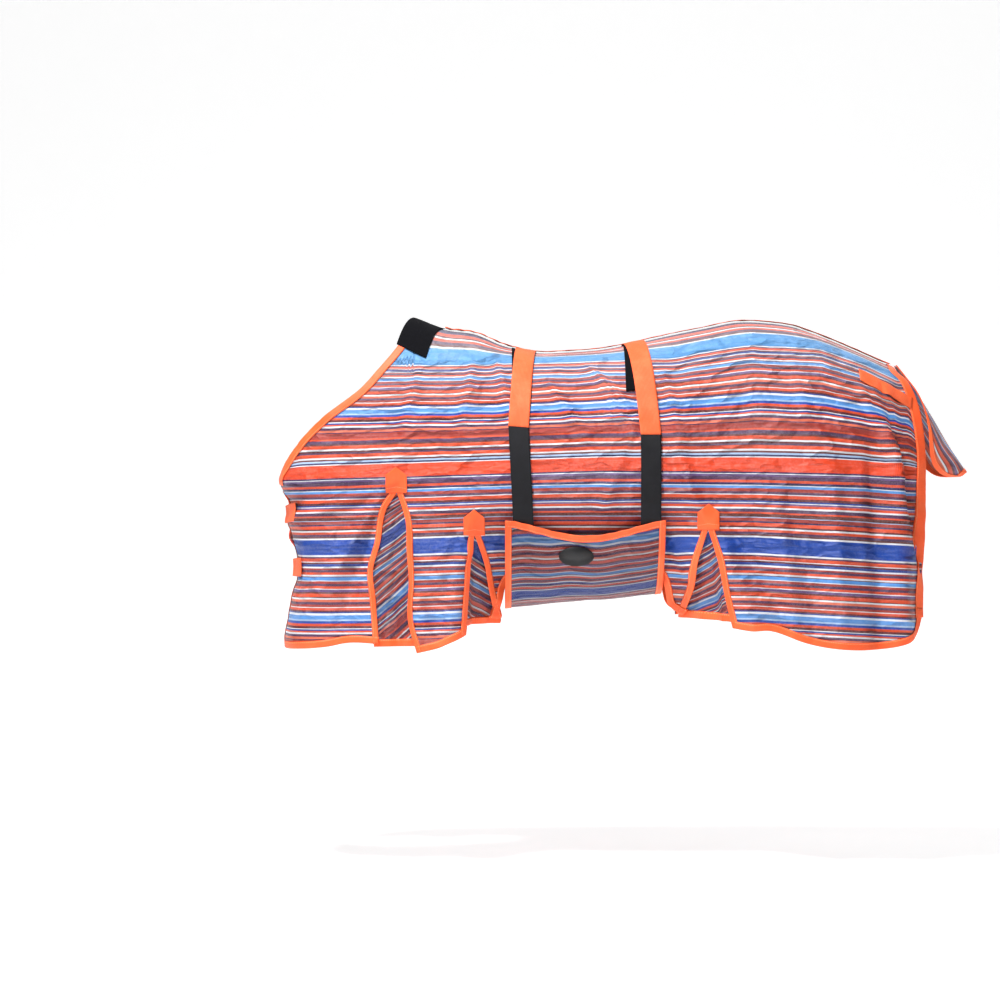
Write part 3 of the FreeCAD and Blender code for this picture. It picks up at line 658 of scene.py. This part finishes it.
def panelStrip(bm, index, side):  # the cloth between two slits, or from a slit to the chest or the rear edge
    left, right = sidesOfStrip[index]
    leftLine = byV(slits[left][2]) if left is not None else None
    rightLine = byV(slits[right][1]) if right is not None else None
    leftApex = apexes[left][0] if left is not None else trackStart
    rightApex = apexes[right][0] if right is not None else body["tailHead"]
    hem = [trackAt(x, z) for x, z in dense(hems[index])]
    q0, q1 = hem[0][0], hem[-1][0]
    hemByShare = sorted(((q - q0) / (q1 - q0), v) for q, v in hem)

    def place(a, b):
        b = 1.0 - b
        nominal = leftApex + (rightApex - leftApex) * a
        top, mid, bottom = topV(nominal), middleV(nominal), straight(hemByShare, a)
        half = rowsAbove / (rowsAbove + rowsBelow)
        v = top + (mid - top) * b / half if b < half else mid + (bottom - mid) * (b - half) / (1 - half)
        fromQ, toQ = leftApex, rightApex
        if leftLine and v > apexes[left][1]:
            fromQ = straight(leftLine, v)
        if rightLine and v > apexes[right][1]:
            toQ = straight(rightLine, v)
        q = fromQ + (toQ - fromQ) * a
        p = bodyPoint(q, v)
        return clothAt(q, v, side), (q * mm, weaveRun(p.x, p.z) * mm)

    laidGrid(bm, stripColumns[index], rowsAbove + rowsBelow, place)


def sidePanel(side):
    bm = bmesh.new()
    for index in range(4):
        panelStrip(bm, index, side)
    bmesh.ops.remove_doubles(bm, verts=bm.verts, dist=0.0004)
    pointOutwards(bm, fromBarrel)
    piece = meshPiece(side + "SideCloth", bm)
    thicken(piece, clothThick * mm, -1.0)
    return piece


nearPanel = sidePanel("near")
dress(nearPanel, finish["mesh"], None, "mesh", "near_side_panel", "near_chest_panel")
offPanel = sidePanel("off")
dress(offPanel, finish["mesh"], "sheet", "mesh", "off_side_panel")
print("side cloth ready")


# bindings: tape folded over an edge, (x, z) path with the cloth on its left
def inwardOf(points):
    found = []
    last = len(points) - 1
    for i in range(len(points)):
        ax, az = points[max(0, i - 1)]
        bx, bz = points[min(last, i + 1)]
        size = math.hypot(bx - ax, bz - az) or 1.0
        found.append((-(bz - az) / size, (bx - ax) / size))
    return found


fold = [(1.0, 1), (0.72, 1), (0.4, 1), (0.12, 1), (0.02, 0.75), (-0.02, 0.0), (0.02, -0.75), (0.12, -1),
        (0.5, -1), (1.0, -1)]  # (share of the width in from the edge, face) round the tape's section
foldRows = len(fold) - 1
foldHigh = 1.7  # how far each face stands off the cloth, in millimetres
foldBed = 0.4


def surfaceTape(name, place, columns, rows, thickness):  # a strip or cloth laid by place(a, b)
    bm = bmesh.new()
    laidGrid(bm, columns, rows, place)
    piece = meshPiece(name, bm)
    thicken(piece, thickness * mm, 0.0)
    return piece


def foldAt(b):
    return fold[min(foldRows, max(0, round(b * foldRows)))]


def foldedTape(name, points, width, side, step=8.0, flip=1):
    line = dense(points, step)
    inward = inwardOf(line)
    count = len(line) - 1

    def place(a, b):
        i = min(count, max(0, round(a * count)))
        share, face = foldAt(b)
        x, z = line[i]
        nx, nz = inward[i]
        d = share * width * flip
        pucker = 0.35 * math.sin(i * 2.1) * (1 if face > 0 else 0)
        p = cloth(x + nx * d, z + nz * d, side, face * foldHigh + foldBed + pucker)
        return p, (i * step * mm, abs(share) * width * mm)

    return surfaceTape(name, place, count, foldRows, 0.6)


for side in ("near", "off"):
    neck = foldedTape(side + "NeckTape", neckEdge[1:], widths["neck"], side)
    hemFront = foldedTape(side + "HemTapeFront", hems[0], widths["hem"], side)
    if side == "near":
        dress(neck, finish["neck"], None, "binding", "near_neck_binding", "near_chest_neck_binding")
        dress(hemFront, finish["hem"], None, "binding", "near_chest_hem_binding")
        nearNeck, nearHemFront = neck, hemFront
    else:
        dress(neck, finish["neck"], "sheet", "binding", "off_neck_binding")
        dress(hemFront, finish["hem"], "sheet", "binding")
    for number, hem in enumerate(hems[1:], 2):
        tape = foldedTape(side + "HemTape" + str(number), hem, widths["hem"], side)
        dress(tape, finish["hem"], "sheet", "binding", *([side + "_hem_binding"] if number == 2 else []))
print("neck and hem tapes ready")


def rearTape(side):  # folded tape down the rear edge, from the tail head to the hem
    vEnd = trackAt(1392, -838)[1]
    width = widths["rear"]

    def place(a, b):
        share, face = foldAt(b)
        v = 0.01 + (vEnd - 0.01) * a
        q = body["tailHead"] - share * width * 0.82
        return clothAt(q, v, side, face * foldHigh + foldBed), (a * 0.82, abs(share) * width * mm)

    return surfaceTape(side + "RearTape", place, 90, foldRows, 0.6)


def chestTape(side):  # folded tape down the front edge, in the middle of the chest
    v0, v1 = trackAt(-465, -470)[1], trackAt(-449, -912)[1]
    width = widths["front"]

    def place(a, b):
        share, face = foldAt(b)
        q = trackStart + share * width * chestTrack / (body["chestHalf"] * math.pi / 2)
        v = v0 + (v1 - v0) * a
        p = clothAt(max(trackStart, q), v, side, face * foldHigh + foldBed)
        if side == "off":
            p.y += 0.0005
        else:
            p.y -= 0.0005
        return p, (a * 0.45, abs(share) * width * mm)

    return surfaceTape(side + "ChestTape", place, 48, foldRows, 0.6)


for side in ("near", "off"):
    dress(rearTape(side), finish["rear"], "sheet", "binding", side + "_rear_binding")
dress(chestTape("near"), finish["front"], "near_chest", "binding", "near_chest_front_binding")
dress(chestTape("off"), finish["front"], "sheet", "binding", "off_chest_front_binding")


quarter = 430.0  # cloth from the spine to the widest line, roughly
firstGuess = 420.0


def acrossSpine(q, distance, lift, ripple=1.0):  # a point a distance round the back, off side positive
    v = abs(distance) / firstGuess
    for _ in range(6):
        half, z = section(q, v)
        gone = math.hypot(half, through(body["top"], q) - z)
        v *= abs(distance) / max(gone, 0.001) if abs(distance) > 0.01 else 0.0
        v = min(v, 1.2)
    return clothAt(q, v, "off" if distance > 0 else "near", lift, ripple)


spineTape = {"from": 8.0, "to": 1312.0, "lift": 7.0, "wide": 38.0}


def spinePlace(a, b):
    q = spineTape["from"] + (spineTape["to"] - spineTape["from"]) * a
    creased = 1.0 - smooth(120, 330, q)
    wander = creased * 2.5 * math.sin(q / 23.0)
    d = (b - 0.5) * spineTape["wide"] + wander
    lift = spineTape["lift"] + creased * 2.4 * abs(math.sin(q / 11.0 + b))
    lift += 1.2 * noise.noise(Vector((q / 30.0, b, 3.0)))
    return acrossSpine(q, d, lift), (q * mm, abs(b - 0.5) * widths["spine"] * mm)


seamTape = surfaceTape("spineTape", spinePlace, 190, 8, 0.9)
dress(seamTape, finish["spine"], "sheet", "binding", "spine_binding")

# withers patch: two loop-pile halves over the spine, sewn down the middle
withers = {"top": [(-77, 37), (9, 0)], "low": [(-128, -50), (-43, -90)], "lift": 3.2}


def withersPlace(a, b):
    side = "near" if b < 0.5 else "off"
    t = abs(2 * b - 1) ** 0.9
    x = (withers["top"][0][0] + 86 * a) * (1 - t) + (withers["low"][0][0] + 85 * a) * t
    zLow = withers["low"][0][1] * (1 - a) + withers["low"][1][1] * a
    q, vLow = trackAt(x, zLow)
    seam = 0.9 * math.exp(-((a - 0.5) / 0.03) ** 2)
    return clothAt(x, vLow * t, side, withers["lift"] - seam, 0.6), (a * 0.095, t * 0.13)


topPatch = surfaceTape("withersPatch", withersPlace, 40, 60, 1.6)
dress(topPatch, finish["pile"], "sheet", "hook_loop", "withers_patch")


def sidePatch(name, corners, side, lift, columns, rows):  # four corners, (x, z), head end top first
    (ax, az), (bx, bz), (cx, cz), (dx, dz) = corners

    def place(a, b):
        top = (ax + (bx - ax) * a, az + (bz - az) * a)
        low = (dx + (cx - dx) * a, dz + (cz - dz) * a)
        x, z = top[0] + (low[0] - top[0]) * (1 - b), top[1] + (low[1] - top[1]) * (1 - b)
        return cloth(x, z, side, lift), (a * 0.06, b * 0.06)

    return surfaceTape(name, place, columns, rows, 1.2)


# slits: pleated gusset cloth behind, folded tape down each edge, a house-shaped patch over the top
patchSize = {"wide": 60.0, "high": 74.0, "lift": 3.2}
gusset = {"spare": 14.0, "rise": 0.012, "back": 2.5, "deep": 20.0, "pleat": 7.0}


def gussetAt(name, fore, aft, side):  # place(a, b, lift) on the pleated cloth, b from the hem up
    foreLine, aftLine = byV(fore), byV(aft)
    top = apexes[[n for n, _, _ in slits].index(name)][1] - 0.02
    bottom = 0.5 * (foreLine[-1][0] + aftLine[-1][0]) - gusset["rise"]

    def place(a, b, lift=0.0):
        v = top + (bottom - top) * (1 - b)
        q0, q1 = straight(foreLine, v) - gusset["spare"], straight(aftLine, v) + gusset["spare"]
        q = q0 + (q1 - q0) * a
        pleat = gusset["deep"] * math.sin(math.pi * a) ** 2
        pleat += gusset["pleat"] * math.sin(3 * math.pi * a) ** 2
        inset = -gusset["back"] - smooth(top, bottom, v) * pleat
        p = bodyPoint(q, v)
        turn = 0.8 if name != "middle" else -0.7
        spot = ((p.x + p.z * 0.3) * mm, (weaveRun(p.x, p.z) + turn * (p.x - q0)) * mm)
        return clothAt(q, v, side, inset + lift), spot

    return place


def gussetHem(title, name, fore, aft, side):  # tape folded over the gusset's lower edge
    at = gussetAt(name, fore, aft, side)

    def place(a, b):
        share, face = foldAt(b)
        high = abs(fore[-1][1] - fore[0][1])
        p, _ = at(a, share * widths["hem"] / high, face * 1.3)
        return p, (a * 0.12, abs(share) * widths["hem"] * mm)

    return surfaceTape(title, place, 30, foldRows, 0.6)


def housePatch(name, centre, low, side):
    wide, high = patchSize["wide"], patchSize["high"]
    x0 = centre - wide / 2

    def place(a, b):
        b = 1 - b
        shoulderHigh = high - wide * 0.4
        rise = shoulderHigh + wide * 0.4 * (1 - abs(2 * a - 1))
        z = low + rise * (1 - b)
        return cloth(x0 + wide * a, z, side, patchSize["lift"]), (a * wide * mm, b * high * mm)

    return surfaceTape(side + name.capitalize() + "GussetPatch", place, 20, 20, 1.4)


rumpCorners = [(1206, -121), (1366, -204), (1362, -236), (1206, -157)]
for side in ("near", "off"):
    for name, fore, aft in slits:
        title = side + name.capitalize()
        inset = surfaceTape(title + "Gusset", gussetAt(name, fore, aft, side), 30, 50, clothThick)
        dress(inset, finish["shadedGussetMesh"], "sheet", "mesh", side + "_" + name + "_gusset")
        for end, line, flip in (("Fore", fore, -1), ("Aft", aft, 1)):
            tape = foldedTape(title + "Slit" + end, line, widths["slit"], side, flip=flip)
            nodes = [side + "_" + name + "_slit_binding"] if end == "Fore" else []
            dress(tape, finish["slit"], "sheet", "binding", *nodes)
        foot = gussetHem(title + "GussetHem", name, fore, aft, side)
        dress(foot, finish["hem"], "sheet", "binding")
        dress(housePatch(name, fore[0][0], fore[0][1] - 3, side), finish["patch"], "sheet", "binding",
              side + "_" + name + "_gusset_patch")
    rump = sidePatch(side + "RumpPatch", rumpCorners, side, 4.0, 30, 10)
    dress(rump, finish["web"], "sheet", "binding", side + "_rump_patch")
print("gussets and patches ready")

# surcingles
strap = {"wide": 58.0, "lift": 6.2, "thick": 1.6, "past": 62.0, "foot": -573.0, "overWrap": 11.0}
surcingles = [("front", 248.0, 224.0, 239.0, -293.0, 205.0), ("rear", 559.0, 599.0, 600.0, -315.0, 531.0)]


def strapPiece(name, centreTop, centreSeam, centreLow, zSeam, part):
    vSeam = trackAt(centreSeam, zSeam)[1]
    vFoot = trackAt(centreLow, strap["foot"])[1]
    vPast = strap["past"] / quarter

    def middle(v):
        if v < 0:
            return centreTop
        if v < vSeam:
            return centreTop + (centreSeam - centreTop) * v / vSeam
        return centreSeam + (centreLow - centreSeam) * (v - vSeam) / (vFoot - vSeam)

    ends = {"webbing": (-vPast, vSeam), "elastic": (vSeam - 0.012, vFoot),
            "hook": (-vPast + 0.01, vSeam * 0.62)}[part]
    lift = strap["lift"] - {"webbing": 0.0, "elastic": 0.9, "hook": 1.5}[part]
    wide = strap["wide"] - (6 if part == "hook" else 0)

    def place(a, b):
        v = ends[0] + (ends[1] - ends[0]) * (1 - a)
        across = (b - 0.5) * wide
        crown = 0.8 * (1 - (2 * b - 1) ** 2)
        puff = 0.9 * noise.noise(Vector((v * 9.0, b * 1.5, centreTop)))
        side = "off" if v < 0 else "near"
        high = lift + (crown + puff if part != "hook" else 0)
        if part == "elastic":  # its lower end is sewn over the wrap's top edge
            high += strap["overWrap"] * smooth(vFoot - 0.13, vFoot - 0.05, v)
        return clothAt(middle(v) + across, abs(v), side, high, 0.5), (v * 0.5, b * wide * mm)

    return surfaceTape(name + part.capitalize(), place, 110, 14, strap["thick"] if part != "hook" else 0.8)


strapParts = [("webbing", "web", "webbing", "webbing"), ("elastic", "elastic", "elastic", "elastic"),
              ("hook", "pile", "hook_loop", "hook_tape")]  # part, finish, slot, end of the node's name


def landingPatch(name, x0):
    reach = trackAt(x0, -190)[1]

    def place(a, b):
        v = reach * abs(2 * b - 1)
        return clothAt(x0 + 50 * a, v, "near" if b > 0.5 else "off", 2.4, 0.8), (a * 0.05, b * 0.4)

    return surfaceTape(name + "LoopPatch", place, 12, 70, 1.4)


for name, top, seam, low, zSeam, patchX in surcingles:
    patch = landingPatch(name, patchX)
    dress(patch, finish["pile"], "sheet", "hook_loop", name + "_surcingle_loop_patch")
    for part, look, slot, node in strapParts:
        band = strapPiece(name, top, seam, low, zSeam, part)
        dress(band, finish[look], name + "_belly_strap", slot, name + "_surcingle_" + node)
print("surcingles ready")

# belly wrap
wrap = {"front": 186.0, "rear": 642.0, "top": -556.0, "sag": 44.0, "offEnd": 244.0, "lift": 5.0,
        "blueAngle": 155.0, "perDegree": 5.6}


def wrapPoint(x, angle, lift):
    turn = math.radians(angle)
    wide = through(body["widest"], x)
    high = wide - through(body["belly"], x) + 2.0
    width = fullHalf(x) + wrap["lift"]
    n = Vector((0, -math.sin(turn) / width, math.cos(turn) / high)).normalized()
    return (Vector((x, -width * math.sin(turn), wide + high * math.cos(turn))) + n * lift) * mm


def wrapAngle(x, z):
    wide = through(body["widest"], x)
    high = wide - through(body["belly"], x) + 2.0
    return 90.0 + math.degrees(math.asin(min(1.0, (wide - z) / high)))


def wrapTop(x):
    share = min(1.0, max(0.0, (x - wrap["front"]) / (wrap["rear"] - wrap["front"])))
    return wrap["top"] - wrap["sag"] * math.sin(math.pi * share) ** 1.5


def wrapWave(x, angle):  # small gathers under the top edge and long soft waves below, in millimetres
    near = smooth(150, 108, angle)
    gather = 2.2 * math.sin(x / 8.5 + 2 * math.sin(x / 40.0)) * smooth(128, 108, angle)
    wave = 3.0 * near * math.sin(x / 75.0 + angle / 9.0)
    return gather + wave + 2.0 * noise.noise(Vector((x / 70.0, angle / 9.0, 5.0)))


def wrapPlace(a, b):
    x = wrap["front"] + (wrap["rear"] - wrap["front"]) * a
    start = wrapAngle(x, wrapTop(x))
    angle = start + (wrap["offEnd"] - start) * b
    bow = math.sin(math.pi * (x - wrap["front"]) / (wrap["rear"] - wrap["front"]))
    wave = 5.0 * math.sin(x / 60.0) + 3.0 * math.sin(x / 23.0 + 1.0) + 9.0 * bow
    level = blueAt + repeat + (wrap["blueAngle"] - angle) * wrap["perDegree"] + wave
    return wrapPoint(x, angle, 2.4 + wrapWave(x, angle)), (x * mm, level * mm)


bellyCloth = surfaceTape("bellyWrapCloth", wrapPlace, 96, 110, clothThick)
dress(bellyCloth, finish["shadedWrapMesh"], None, "mesh", "belly_wrap_panel", "wrap_off_panel")


def wrapTape(name, edge):
    width = widths["wrap"]

    def place(a, b):
        share, face = foldAt(b)
        if edge == "top":
            x = wrap["front"] + (wrap["rear"] - wrap["front"]) * a
            angle = wrapAngle(x, wrapTop(x) - share * width)
            along = x * mm
        else:
            ends = (wrap["front"], 1) if edge == "front" else (wrap["rear"], -1)
            x = ends[0] + ends[1] * share * width
            first = wrapAngle(x, wrapTop(x))
            angle = first + (wrap["offEnd"] - first) * a
            along = a * 0.75
        return wrapPoint(x, angle, 2.4 + wrapWave(x, angle) + face * 1.6), (along, abs(share) * width * mm)

    return surfaceTape(name, place, 96, foldRows, 0.6)


wrapTapes = [wrapTape("wrap" + edge.capitalize() + "Tape", edge) for edge in ("top", "front", "rear")]
dress(wrapTapes[0], finish["wrap"], "belly_wrap", "binding", "wrap_top_binding")
dress(wrapTapes[1], finish["wrap"], None, "binding", "wrap_front_binding", "wrap_off_binding")
dress(wrapTapes[2], finish["wrap"], None, "binding", "wrap_rear_binding")

badge = {"x": 389.0, "z": -657.0, "long": 100.0, "high": 54.0, "lift": 4.6}


def badgePiece():  # a blank oval, domed a little, with a raised rim
    bm = bmesh.new()
    bmesh.ops.create_circle(bm, cap_ends=True, radius=1.0, segments=64)
    for step in (0.08, 0.07, 0.45):
        middle = [f for f in bm.faces if len(f.verts) > 4]
        bmesh.ops.inset_region(bm, faces=middle, thickness=step, depth=0.0)
    bmesh.ops.triangulate(bm, faces=[f for f in bm.faces if len(f.verts) > 4])

    for vert in bm.verts:
        r = vert.co.length
        rise = 0.9 if r > 0.9 else (0.0 if r > 0.84 else 0.5)
        x = badge["x"] + vert.co.x * badge["long"] / 2
        z = badge["z"] + vert.co.y * badge["high"] / 2
        angle = wrapAngle(x, z)
        vert.co = wrapPoint(x, angle, badge["lift"] + rise + 0.5 * wrapWave(x, angle) + 1.0)
    pointOutwards(bm, fromBarrel)
    piece = meshPiece("wrapBadge", bm)
    thicken(piece, 0.0016, 0.0)
    return piece


dress(badgePiece(), finish["badge"], "belly_wrap", "badge", "wrap_badge")
print("belly wrap ready")

# chest closures
closures = [("upper", -538.0), ("lower", -696.0)]
chestStrap = {"wide": 55.0, "tab": 124.0, "reach": 205.0, "lift": 6.2, "bulge": 9.0}


def chestPlace(zMid, fromMm, toMm, lift, side, wide, bulge=0.0):
    perMm = chestTrack / (body["chestHalf"] * math.pi / 2)

    def place(a, b):
        d = fromMm + (toMm - fromMm) * a
        z = zMid + (b - 0.5) * wide
        q = trackStart + max(0.0, d) * perMm
        v = trackAt(through(body["chest"], z) + 1, z)[1]
        out = lift + bulge * math.exp(-(d / 26.0) ** 2)
        p = clothAt(q, v, side, out, 0.4)
        return p, (d * mm, b * wide * mm)

    return place


for name, zMid in closures:
    wide, lift, bulge = chestStrap["wide"], chestStrap["lift"], chestStrap["bulge"]
    rider = name + "_chest_strap"
    parts = [("Tab", "near_chest", "tab", "web", "webbing", 40, 12, 2.4,
              (zMid, 0, chestStrap["tab"], lift, "near", wide, bulge)),
             ("Strap", rider, "strap", "web", "webbing", 60, 12, 2.0,
              (zMid, 0, chestStrap["reach"], lift, "off", wide, bulge)),
             ("Loop", "sheet", "loop_patch", "pile", "hook_loop", 50, 12, 1.2,
              (zMid, 30, 230, 2.4, "off", wide + 6)),
             ("Hook", rider, "hook_tape", "pile", "hook_loop", 50, 10, 0.8,
              (zMid, 50, 200, 4.5, "off", wide - 6))]
    for end, bodyName, node, look, slot, columns, rows, thick, spot in parts:
        piece = surfaceTape(name + "Chest" + end, chestPlace(*spot), columns, rows, thick)
        dress(piece, finish[look], bodyName, slot, name + "_chest_" + node)

# tail flap
flap = {
    "long": 375.0, "root": (1333.0, -104.0), "slope": -56.8,
    "depth": [(0.0, 3), (0.12, 3), (0.25, 4), (0.4, 16), (0.545, 38), (0.62, 54), (0.75, 78), (0.84, 80),
              (0.93, 62), (1.0, 22)],
    "spread": [(0.0, 22), (0.12, 52), (0.25, 86), (0.4, 100), (0.545, 108), (0.75, 100), (0.88, 78),
               (0.95, 50), (1.0, 20)],
}


def flapPoint(p, side, lift):  # p runs to the tip, side from -1 at the near edge to 1 at the off edge
    def here(p, s):
        turn = s * math.pi / 2
        slope = math.radians(flap["slope"])
        depth = through(flap["depth"], p) * (1.0 - math.cos(turn))
        reach = flap["long"] * p
        return Vector((flap["root"][0] + reach * math.cos(slope) + depth * math.sin(slope),
                       through(flap["spread"], p) * math.sin(turn),
                       flap["root"][1] + reach * math.sin(slope) - depth * math.cos(slope)))
    e = 0.01
    along = here(min(1.0, p + e), side) - here(max(0.0, p - e), side)
    round_ = here(p, min(1.0, side + e)) - here(p, max(-1.0, side - e))
    n = along.cross(round_).normalized()
    wave = 3.5 * smooth(0.1, 0.6, p) * noise.noise(Vector((p * 3.0, side * 2.0, 9.0)))
    return (here(p, side) + n * (lift + wave)) * mm


def flapPlace(a, b):
    side = 2 * b - 1
    p = flapPoint(a, side, 0.7)
    s = through(flap["spread"], a) * side * 1.2
    return p, ((1.3 + a * 0.375), (blueAt - 60 + abs(s) + a * 150) * mm)


flapCloth = surfaceTape("tailFlapCloth", flapPlace, 60, 50, clothThick)
dress(flapCloth, finish["mesh"], "tail_flap", "mesh", "tail_flap_panel")


def flapEdge(a):  # round the flap: down the near edge, across the tip and up the off edge
    reach, tip = 0.42, 0.16
    if a < reach:
        return a / reach, -1.0
    if a > 1 - reach:
        return (1 - a) / reach, 1.0
    return 1.0, -1.0 + 2.0 * (a - reach) / tip


def flapTapePlace(a, b):
    share, face = foldAt(b)
    p, side = flapEdge(a)
    if abs(side) == 1.0:
        side = side * (1 - share * 0.13)
    else:
        p, side = p - share * 0.035, side * 0.9
    return flapPoint(min(1.0, p), side, 0.7 + face * 1.6), (a * 0.85, abs(share) * widths["flap"] * mm)


dress(surfaceTape("tailFlapTape", flapTapePlace, 120, foldRows, 0.6), finish["flap"], "tail_flap", "binding",
      "tail_flap_binding")
print("chest and tail pieces ready")

# fabric that crosses a joint
for piece in (nearPanel, nearNeck, nearHemFront):
    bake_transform(piece)
for piece in (bellyCloth, wrapTapes[1], wrapTapes[2]):
    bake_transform(piece)
# stage, light and camera
stage = {"floor": -1.553, "near": 6.0, "far": 13.0, "wide": 16.0, "bend": 9.0}


def studioSweep():  # a floor that curves up into a backdrop
    bm = bmesh.new()
    a = bm.verts.new((-stage["wide"], -stage["near"], stage["floor"]))
    b = bm.verts.new((stage["wide"], -stage["near"], stage["floor"]))
    edge = bm.edges.new((a, b))
    out = bmesh.ops.extrude_edge_only(bm, edges=[edge])["geom"]
    verts = [g for g in out if isinstance(g, bmesh.types.BMVert)]
    bmesh.ops.translate(bm, verts=verts, vec=(0, stage["near"] + stage["far"] - stage["bend"], 0))
    last = [g for g in out if isinstance(g, bmesh.types.BMEdge)]
    axis = Vector((0, stage["far"] - stage["bend"], stage["floor"] + stage["bend"]))
    spun = bmesh.ops.spin(bm, geom=verts + last, cent=axis, axis=(1, 0, 0), dvec=(0, 0, 0),
                          angle=math.pi / 2, steps=16, use_merge=False)["geom_last"]
    lift = [g for g in spun if isinstance(g, bmesh.types.BMEdge)]
    out = bmesh.ops.extrude_edge_only(bm, edges=lift)["geom"]
    bmesh.ops.translate(bm, verts=[g for g in out if isinstance(g, bmesh.types.BMVert)], vec=(0, 0, 6))
    return meshPiece("studioSweep", bm)


sweep = studioSweep()
sweepPaint = Maker("studioPaint", Roughness=0.9, Emission_Color=(1, 1, 1, 1), Emission_Strength=0.5)
speck = sweepPaint.noise(3.0, 2.0)
sweepPaint.feed("Base Color", sweepPaint.mix(speck * 0.1, (0.9, 0.9, 0.9, 1), (0.86, 0.86, 0.87, 1)))
sweep.data.materials.append(sweepPaint.material)


def softLight(name, place, aim, size, power, shade=(1, 1, 1)):
    lamp = bpy.data.lights.new(name, "AREA")
    lamp.shape = "SQUARE"
    lamp.size = size
    lamp.energy = power
    lamp.color = shade
    holder = bpy.data.objects.new(name, lamp)
    holder.location = place
    holder.rotation_euler = (Vector(aim) - Vector(place)).to_track_quat("-Z", "Y").to_euler()
    bpy.context.collection.objects.link(holder)


softLight("skyLight", (-1.1, -2.3, 4.3), (0.5, 0.0, -0.3), 0.8, 560)
softLight("fillLight", (-3.4, -4.2, 0.8), (0.3, 0.0, -0.4), 3.0, 45)
softLight("rearFill", (3.4, 3.6, 2.2), (0.4, 0.0, -0.4), 3.0, 60)

world = bpy.data.worlds.new("studioAir")
bpy.context.scene.world = world
world.use_nodes = True
world.node_tree.nodes["Background"].inputs[0].default_value = (1.0, 1.0, 1.0, 1)
world.node_tree.nodes["Background"].inputs[1].default_value = 0.25

camera = {"from": (0.171, -8.6, -0.499), "aim": (0.171, 0.0, -0.499), "lens": 105.5}
eye = bpy.data.objects.new("photoCamera", bpy.data.cameras.new("photoCamera"))
eye.location = camera["from"]
eye.rotation_euler = (Vector(camera["aim"]) - Vector(camera["from"])).to_track_quat("-Z", "Y").to_euler()
eye.data.lens = camera["lens"]
eye.data.sensor_width = 36.0
bpy.context.collection.objects.link(eye)
bpy.context.scene.camera = eye
bpy.context.scene.view_settings.view_transform = "Standard"

print("scene ready")
